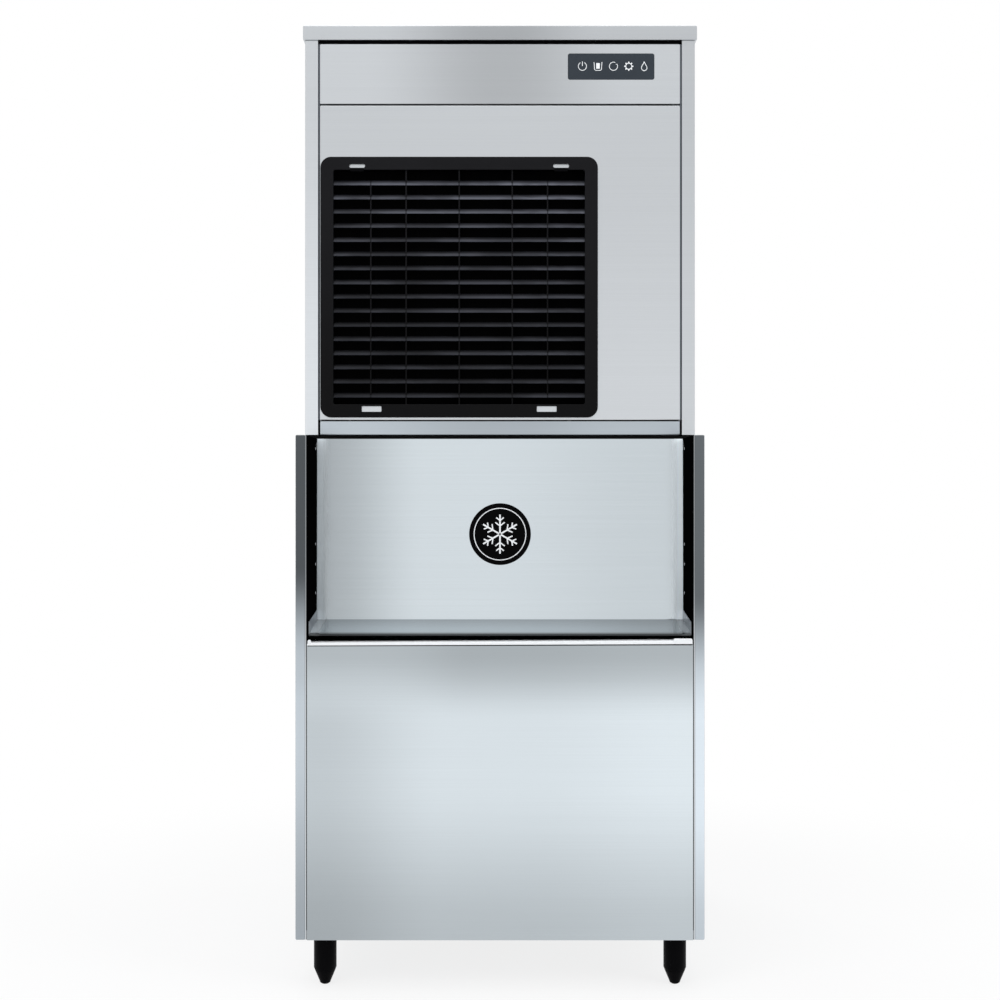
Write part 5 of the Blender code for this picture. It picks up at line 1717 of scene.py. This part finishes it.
@dataclass
class Lid(SubAssembly):
    """The lift-up lid with its gasket, pivots and round badge."""

    badge_radius: float = 0.0602
    badge_rim: tuple[Point2, ...] = ((0.0022, 0.0), (0.0010, 0.0002), (0.0003, 0.0007), (0.0, 0.0010))
    ring_radius: float = 0.0512
    ring_width: float = 0.0016
    ring_steps: int = 72
    arm_length: float = 0.0380
    arm_width: float = 0.0030
    twigs: tuple[Point2, ...] = ((0.42, 0.30), (0.70, 0.24))
    twig_lean: Point2 = (0.80, 0.62)
    twig_width: float = 0.8
    skin_front: float = -0.2615
    end_height: float = 0.0262
    end_rise: float = 0.6988
    lip_root: float = 0.6800
    end_thick: float = 0.0012

    def build(self) -> None:
        """Dresses the lid and builds the badge."""
        self.soft_copy("lid_skin", Finishes.LID_STEEL)
        self._lip_ends()
        self.dress({
            "lid_inner_panel": Finishes.WHITE,
            "lid_gasket": Finishes.RUBBER,
            "lid_pivot_left": Finishes.ZINC_FINE,
            "lid_pivot_right": Finishes.ZINC_FINE,
        })
        self._badge()

    def _lip_ends(self) -> None:
        """Upright ends that close the pull lip at the lid's foot."""
        low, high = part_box("lid_skin")
        front, foot, back = low.y + 0.0006, low.z + 0.0008, self.skin_front
        profile = [(front, foot), (front, foot + self.end_height), (back, self.end_rise), (back, self.lip_root)]
        ends = []
        for side in (-1, 1):
            near, far = sorted((side * (high.x - 0.0001), side * (high.x - self.end_thick)))
            ends.append(strip(f"lip_end_{side}", profile, near, far))
        # The darker steel paints shade on the lip's ends
        self.commit(joined("lip_ends", ends), Finishes.LIP_STEEL, body="lid")

    def _badge(self) -> None:
        """A lacquered disc with a printed ring and a plain six-armed snow crystal."""
        low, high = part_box("badge_disc")
        x, _, z = front_middle(low, high)
        r, thick = self.badge_radius, high.y - low.y
        dome = [(0.0, thick), *((r - inset, thick - drop) for inset, drop in self.badge_rim), (r, 0.0), (0.0, 0.0)]
        disc = lathe("badge_face", dome, (x, high.y, z), Aim.FRONT, 96)
        self.commit(disc, Finishes.BADGE, ["badge_disc"], "lid")
        front, back = low.y - 0.00012, low.y + 0.0003
        radii = (self.ring_radius, self.ring_radius - self.ring_width)
        ring = [arc(x, z, radius, 0, 360, self.ring_steps)[:-1] for radius in radii]
        parts = [plate("badge_ring", ring, front, back)]
        for arm in range(6):
            turn = Matrix.Rotation(math.radians(60 * arm), 2)
            for index, line in enumerate(self._arm_lines()):
                width = self.arm_width * (self.twig_width if index else 1.0)
                points = [turn @ Vector(point) for point in stroke(line, width)]
                outline = [(x + point.x, z + point.y) for point in points]
                parts.append(plate(f"badge_arm_{arm}_{index}", [outline], front - 0.00001 * index, back))
        self.commit(joined("badge_print", parts), Finishes.INK, body="lid")

    def _arm_lines(self) -> list[list[Point2]]:
        """One arm of the crystal, upright from the middle.

        Returns:
            Its stem and then its twigs.
        """
        lines = [[(0.0, 0.0), (0.0, self.arm_length)]]
        across, along = self.twig_lean
        for reach, size in self.twigs:
            root, tip = self.arm_length * reach, self.arm_length * size
            lines += [[(0.0, root), (side * tip * across, root + tip * along)] for side in (-1, 1)]
        return lines


@dataclass
class HeadCasing(SubAssembly):
    """Panels, sides, cover and rear of the ice-making head."""

    screws: Fasteners = field(default_factory=Fasteners)
    rear_margin: Point2 = (0.012, 0.014)
    rear_middle: float = 0.2
    # Depth of the black strip that paints shade in the gap under the cover
    gap_shade_front: float = 0.0006
    gap_shade_back: float = 0.0060
    seam: float = 0.0024
    seam_depth: float = 0.0010
    seam_thick: float = 0.0020

    def build(self) -> None:
        """Dresses the casing and adds a black strip as painted shade in the gap under the cover, its sealing strips
        and its fasteners.
        """
        self.dress({
            "head_base_pan": Finishes.RAIL_STEEL,
            "head_left_side": Finishes.LEFT_STEEL,
            "head_right_side": Finishes.RIGHT_STEEL,
            "head_top_cover": Finishes.CAP_STEEL,
            "fascia_panel": Finishes.FASCIA_STEEL,
            "head_front_panel": Finishes.HEAD_STEEL,
            "head_rear_panel": Finishes.ZINC,
            "head_gasket": Finishes.RUBBER,
        })
        low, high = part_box("fascia_panel")
        front, back = low.y + self.gap_shade_front, low.y + self.gap_shade_back
        foot, top = high.z - 0.0002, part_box("head_top_cover")[0].z + 0.0010
        # Painted shade: a black strip fills the gap between the fascia and the cover
        gap_shade_strip = strip("cover_seal", [(front, foot), (front, top), (back, top), (back, foot)], low.x, high.x)
        self.commit(gap_shade_strip, Finishes.BLACK_TRIM_AND_GAP_SHADE)
        self._seams(high.z)
        self.screws.round_panel("head_rear_screws", "head_rear_panel", self.rear_margin, self.rear_middle)

    def _seams(self, top: float) -> None:
        """Grey sealing strips in the upright joints beside the front panels.

        Args:
            top: height of the fascia's upper edge.
        """
        low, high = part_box("head_front_panel")
        front = low.y + self.seam_depth
        for name, side in (("left", -1), ("right", 1)):
            near, far = sorted((side * (high.x - 0.0006), side * (high.x + self.seam + 0.0001)))
            outline = corner_points((near, low.z + 0.001), (far, top - 0.001), 0.0002, 1)
            piece = plate(f"seam_strip_{name}", [outline], front, front + self.seam_thick)
            self.commit(piece, Finishes.SEAM_GREY)


class Symbol(Enum):
    """Touch symbols of the control window, from left to right."""

    POWER = "power"
    BIN = "bin"
    CYCLE = "cycle"
    GEAR = "gear"
    DROP = "drop"


@dataclass
class ControlWindow(SubAssembly):
    """The slate film with five printed touch symbols."""

    height_offset: float = 0.0008
    places: tuple[float, ...] = (0.1607, 0.1911, 0.2213, 0.2511, 0.2812)
    radius: float = 0.0080
    line: float = 0.00120
    gear_teeth: int = 8
    gear_tip: float = 1.12
    gear_root: float = 0.82
    gear_bore: float = 0.64

    def build(self) -> None:
        """Dresses the film and prints the symbols."""
        self.soft_copy("control_window", Finishes.FILM)
        low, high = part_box("control_window")
        z = (low.z + high.z) / 2 + self.height_offset
        parts = []
        for symbol, x in zip(Symbol, self.places):
            for index, loops in enumerate(self._outlines(symbol, x, z)):
                parts.append(plate(f"symbol_{symbol.value}_{index}", loops, low.y - 0.0001, low.y + 0.0004))
        self.commit(joined("window_symbols", parts), Finishes.INK)

    def _outlines(self, symbol: Symbol, x: float, z: float) -> list[list[list[Point2]]]:
        """The printed shapes of a symbol.

        Args:
            symbol: which one.
            x: its middle.
            z: its middle.

        Returns:
            For each separate shape, its outline and its holes.
        """
        r, w = self.radius, self.line
        if symbol is Symbol.POWER:
            ring = stroke(arc(x, z, r, 118, 422, 48), w)
            return [[ring], [stroke([(x, z + r * 0.04), (x, z + r * 1.16)], w * 1.1)]]
        if symbol is Symbol.BIN:
            wall = [(x - r * 0.96, z + r), (x - r * 0.86, z - r * 0.60)]
            wall += arc(x - r * 0.46, z - r * 0.60, r * 0.40, 180, 270, 6)[1:]
            wall += arc(x + r * 0.46, z - r * 0.60, r * 0.40, 270, 360, 6)
            wall.append((x + r * 0.96, z + r))
            block = corner_points((x - r * 0.44, z - r * 0.58), (x + r * 0.44, z + r * 0.78), r * 0.06, 2)
            return [[stroke(wall, w)], [block]]
        if symbol is Symbol.CYCLE:
            ring = stroke(arc(x, z, r, 66, 394, 52), w)
            return [[ring], [stroke([(x + r * 0.60, z + r * 0.42), (x + r * 0.84, z + r * 0.56)], w)]]
        if symbol is Symbol.GEAR:
            return [[self._gear(x, z), arc(x, z, r * self.gear_bore, 0, 360, 32)[:-1]]]
        middle = z - r * 0.38
        sizes = ((r * 0.76, r * 1.60), (r * 0.76 - w, r * 1.60 - w * 2.4))
        return [[self._drop(x, middle, radius, tip) for radius, tip in sizes]]

    def _gear(self, x: float, z: float) -> list[Point2]:
        """A gear's outline with tapered teeth.

        Args:
            x: its middle.
            z: its middle.

        Returns:
            The outline.
        """
        outline = []
        root, tip = self.radius * self.gear_root, self.radius * self.gear_tip
        for tooth in range(self.gear_teeth):
            for angle, reach in ((-12.0, root), (-7.0, tip), (7.0, tip), (12.0, root), (22.5, root)):
                turn = math.radians(360.0 / self.gear_teeth * tooth + angle)
                outline.append((x + reach * math.cos(turn), z + reach * math.sin(turn)))
        return outline

    @staticmethod
    def _drop(x: float, z: float, radius: float, tip: float) -> list[Point2]:
        """A water drop's outline: a round belly, and straight flanks that touch it and meet in a tip."""
        lean = math.degrees(math.asin(radius / tip))
        return [*arc(x, z, radius, 180 - lean, 360 + lean, 32), (x, z + tip)]


@dataclass(frozen=True)
class Slot:
    """A pair of rounded slots in the grille's frame, one on each side of its middle."""

    at: float
    inset: float
    width: float
    height: float
    radius: float


@dataclass
class AirGrille(SubAssembly):
    """The louvred black grille: frame with slots, collar, slats and bars."""

    proud: float = 0.0050
    border: float = 0.0255
    corner: float = 0.0210
    mouth_corner: float = 0.0040
    collar_wall: float = 0.0025
    edge: float = 0.0014
    slats: int = 16
    pitch: float = 0.02758
    chord: float = 0.0118
    thick: float = 0.0020
    tilt: float = math.radians(55)
    slat_drop: float = 0.0248
    slat_recess: float = 0.0026
    inner_bars: float = 0.1035
    outer_bars: float = 0.1724
    bar_width: float = 0.0026
    bar_depth: float = 0.0080
    bar_recess: float = 0.0045
    tenon: float = 0.001
    top_slot: Slot = Slot(0.1987, 0.0175, 0.0310, 0.0078, 0.0034)
    bottom_slot: Slot = Slot(0.1707, 0.0165, 0.0386, 0.0110, 0.0016)
    clip: tuple[float, ...] = (0.86, 0.0066, 0.0016)
    clip_drop: float = 0.0042

    def build(self) -> None:
        """Builds the frame, the slats, the bars and the clips."""
        low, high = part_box("air_grille")
        front, back, centre = low.y, low.y + self.proud, (low.x + high.x) / 2
        mouth = (low.x + self.border, low.z + self.border, high.x - self.border, high.z - self.border)
        inner = corner_points(mouth[:2], mouth[2:], self.mouth_corner)
        loops = [corner_points((low.x, low.z), (high.x, high.z), self.corner, 12), inner]
        for side in (-1, 1):
            for slot, edge, inward in ((self.top_slot, high.z, -1), (self.bottom_slot, low.z, 1)):
                z = edge + inward * slot.inset
                loops.append(centred(centre + side * slot.at, z, slot.width, slot.height, slot.radius))
        frame = plate("grille_frame", loops, front, back, self.edge)
        self.commit(frame, Finishes.GRILLE_BLACK, ["air_grille"])
        wall, corner = self.collar_wall, self.mouth_corner + self.collar_wall
        outer = corner_points((mouth[0] - wall, mouth[1] - wall), (mouth[2] + wall, mouth[3] + wall), corner)
        self.commit(plate("grille_collar", [outer, inner], back - 0.0015, high.y), Finishes.BLACK)
        self._slats(mouth, front)
        self._clips(centre, high.z, back)

    def _slats(self, mouth: tuple[float, float, float, float], front: float) -> None:
        """Sloping slats and the thin upright bars that hold them.

        Args:
            mouth: the opening's low x, low z, high x and high z.
            front: y of the frame's face.
        """
        middle, first = (mouth[0] + mouth[2]) / 2, mouth[3] - self.slat_drop
        last = first - self.pitch * (self.slats - 1)
        y = front + self.slat_recess + self.chord / 2 * math.cos(self.tilt)
        offsets = (-self.outer_bars, -self.inner_bars, 0.0, self.inner_bars, self.outer_bars)
        # The slats' finish paints shade where the bars cross them
        BladeRow(
            "grille_slats",
            replace(Finishes.SLAT_BLACK, bars=tuple(middle + offset for offset in offsets)),
            self.slats,
            first=(0.0, y, first),
            step=(0.0, 0.0, -self.pitch),
            start=(mouth[0] - self.tenon, 0.0, 0.0),
            end=(mouth[2] + self.tenon, 0.0, 0.0),
            chord=self.chord,
            thick=self.thick,
            edge=self.thick * 0.42,
            turn=(self.tilt, 0.0, 0.0),
        ).build()
        y = front + self.bar_recess + self.bar_depth / 2
        rows = (
            ("inner", 3, self.inner_bars, mouth[1] - self.tenon, mouth[3] + self.tenon),
            ("outer", 2, self.outer_bars * 2, last, first),
        )
        for name, count, step, low, high in rows:
            BladeRow(
                f"grille_bars_{name}",
                Finishes.GRILLE_BLACK,
                count,
                first=(middle - step * (count - 1) / 2, y, 0.0),
                step=(step, 0.0, 0.0),
                start=(0.0, 0.0, low),
                end=(0.0, 0.0, high),
                chord=self.bar_width,
                thick=self.bar_depth,
                edge=0.0008,
            ).build()

    def _clips(self, centre: float, top: float, back: float) -> None:
        """Snap clips under the upper slots.

        Args:
            centre: x of the grille's middle.
            top: z of its upper edge.
            back: y of the frame's rear.
        """
        slot, (share, height, radius) = self.top_slot, self.clip
        z = top - slot.inset - slot.height / 2 - self.clip_drop
        parts = []
        for side in (-1, 1):
            outline = centred(centre + side * slot.at, z, slot.width * share, height, radius)
            parts.append(plate(f"clip_{side}", [outline], back - 0.0056, back - 0.0030, 0.0004))
        self.commit(joined("grille_clips", parts), Finishes.BLACK)


@dataclass
class Refrigeration(SubAssembly):
    """Filter, condenser, fan and compressor behind the grille."""

    net_margin: float = 0.006
    net_front: float = 0.0022
    net_back: float = 0.0030
    fin_pitch: float = 0.0032
    fin_thick: float = 0.0004
    fin_margin: float = 0.008
    fin_foot: float = 0.062
    fin_head: float = 0.012
    fin_recess: float = 0.003

    def build(self) -> None:
        """Dresses the cooling side and adds the filter net and the fins."""
        self.soft_copy("air_filter", Finishes.BLACK_TRIM_AND_GAP_SHADE)
        low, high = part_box("air_filter")
        inset = self.net_margin
        outline = corner_points((low.x + inset, low.z + inset), (high.x - inset, high.z - inset), 0.002)
        self.commit(plate("filter_net", [outline], low.y + self.net_front, low.y + self.net_back), Finishes.NET)
        self.soft_copy("condenser", Finishes.ALUMINIUM)
        low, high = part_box("condenser")
        BladeRow(
            "condenser_fins",
            Finishes.ALUMINIUM,
            int((high.x - low.x - 2 * self.fin_margin) / self.fin_pitch),
            first=(low.x + self.fin_margin, (low.y + high.y) / 2, 0.0),
            step=(self.fin_pitch, 0.0, 0.0),
            start=(0.0, 0.0, low.z + self.fin_foot),
            end=(0.0, 0.0, high.z - self.fin_head),
            chord=self.fin_thick,
            thick=high.y - low.y - self.fin_recess,
            edge=self.fin_thick * 0.2,
        ).build()
        self.dress({
            "fan_shroud": Finishes.ZINC,
            "fan_motor": Finishes.ENAMEL,
            "fan": Finishes.BLACK,
            "compressor": Finishes.ENAMEL,
        })
        self.dress({f"compressor_mount_{number}": Finishes.RUBBER for number in range(1, 5)})
        self.dress({"discharge_line": Finishes.COPPER, "suction_line": Finishes.COPPER}, PIPE_ANGLE)


@dataclass
class IceMaker(SubAssembly):
    """Gear motor, evaporator, auger, breaker and chute."""

    def build(self) -> None:
        """Dresses the ice-making column."""
        self.dress({
            "gear_motor": Finishes.ZINC_FINE,
            "evaporator_barrel": Finishes.TURNED_STEEL,
            "auger": Finishes.TURNED_STEEL,
            "ice_breaker": Finishes.TURNED_STEEL,
            "ice_chute": Finishes.WHITE,
        })


@dataclass
class WaterAndPower(SubAssembly):
    """Reservoir, hoses, water inlet, electrical box and cable gland."""

    thread_pitch: float = 0.0018
    thread_depth: float = 0.0011
    thread_start: float = 0.0020
    thread_end: float = 0.0024
    inlet_radius: float = 0.0132
    inlet_mouth: tuple[Point2, ...] = ((0.0042, 0.0006), (0.0036, 0.0), (0.0014, 0.0), (0.0006, 0.0010))
    mouth_depth: float = 0.0080
    hose_radius: float = 0.0070
    collar_start: float = 0.0200
    collar_end: float = 0.0280
    gland_step: float = 0.0040
    gland_ring: float = 0.0117
    gland_bore: float = 0.45
    nut_dome: tuple[Point2, ...] = ((1.0, 0.0062), (0.93, 0.0036), (0.80, 0.0010), (0.62, 0.0002))
    nut_start: float = 0.0012
    nut_flutes: float = 0.0007

    def build(self) -> None:
        """Dresses the water side and builds the threaded inlet and the gland."""
        self.dress({"water_reservoir": Finishes.WHITE, "float_arm": Finishes.GREY})
        self.dress({"water_hose": Finishes.GREY, "feed_hose": Finishes.GREY}, PIPE_ANGLE)
        self.soft_copy("electrical_box", Finishes.ZINC)
        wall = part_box("head_rear_panel")[1].y
        self._inlet(wall)
        self._gland(wall)

    def _inlet(self, wall: float) -> None:
        """Threaded water inlet with a hollow mouth.

        Args:
            wall: y of the rear panel's outside.
        """
        low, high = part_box("water_inlet")
        length, out = high.y - low.y, wall - low.y
        collar, radius, hose = (high.x - low.x) / 2, self.inlet_radius, self.hose_radius
        bottom = length - self.mouth_depth
        profile = [(0.0, bottom), (radius - self.inlet_mouth[0][0], bottom)]
        profile += [(radius - inset, length - drop) for inset, drop in self.inlet_mouth]
        thread = []
        place = out + self.thread_start
        while place < length - self.thread_end:
            thread += [(radius - self.thread_depth, place), (radius, place + self.thread_pitch / 2)]
            place += self.thread_pitch
        profile += [*reversed(thread), (radius - 0.0006, out + 0.0008), (radius - 0.0006, self.collar_end)]
        profile += [(collar, self.collar_end), (collar, self.collar_start), (hose, self.collar_start)]
        profile += [(hose, 0.0), (0.0, 0.0)]
        inlet = lathe("inlet_thread", profile, front_middle(low, high), Aim.BACK, 48)
        self.commit(inlet, Finishes.BRASS, ["water_inlet"])

    def _gland(self, wall: float) -> None:
        """Cable gland with a gripped dome nut over its body.

        Args:
            wall: y of the rear panel's outside.
        """
        low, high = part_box("cable_gland")
        at = front_middle(low, high)
        length, start = high.y - low.y, wall - low.y + self.nut_start
        ring = (high.x - low.x) / 2
        radius = ring - self.gland_step
        bore, neck, end = radius * self.gland_bore, radius - 0.0008, length - 0.0090
        body = [(bore, 0.0), (ring - 0.0004, 0.0), (ring, 0.0004), (ring, self.gland_ring)]
        body += [(neck, self.gland_ring), (neck, end), (bore, end)]
        self.commit(lathe("gland_body", body, at, Aim.BACK, 48), Finishes.BLACK, ["cable_gland"])
        nut = [(bore, start), (radius, start), *((radius * share, length - drop) for share, drop in self.nut_dome)]
        nut.append((bore, length - self.nut_dome[-1][1]))
        self.commit(lathe("gland_nut", nut, at, Aim.BACK, 48, self.nut_flutes), Finishes.BLACK)


def main() -> None:
    """Builds the studio and every sub-assembly, and reports the pieces."""
    logging.basicConfig(level=logging.INFO, format="%(name)s %(message)s")
    parts = (
        Studio(),
        StorageBin(),
        Lid(),
        HeadCasing(),
        ControlWindow(),
        AirGrille(),
        Refrigeration(),
        IceMaker(),
        WaterAndPower(),
    )
    for part in parts:
        part.build()
        LOG.info("%s is built", type(part).__name__)
    LOG.info("%d pieces", len(SubAssembly.made))


if __name__ == "__main__":
    main()
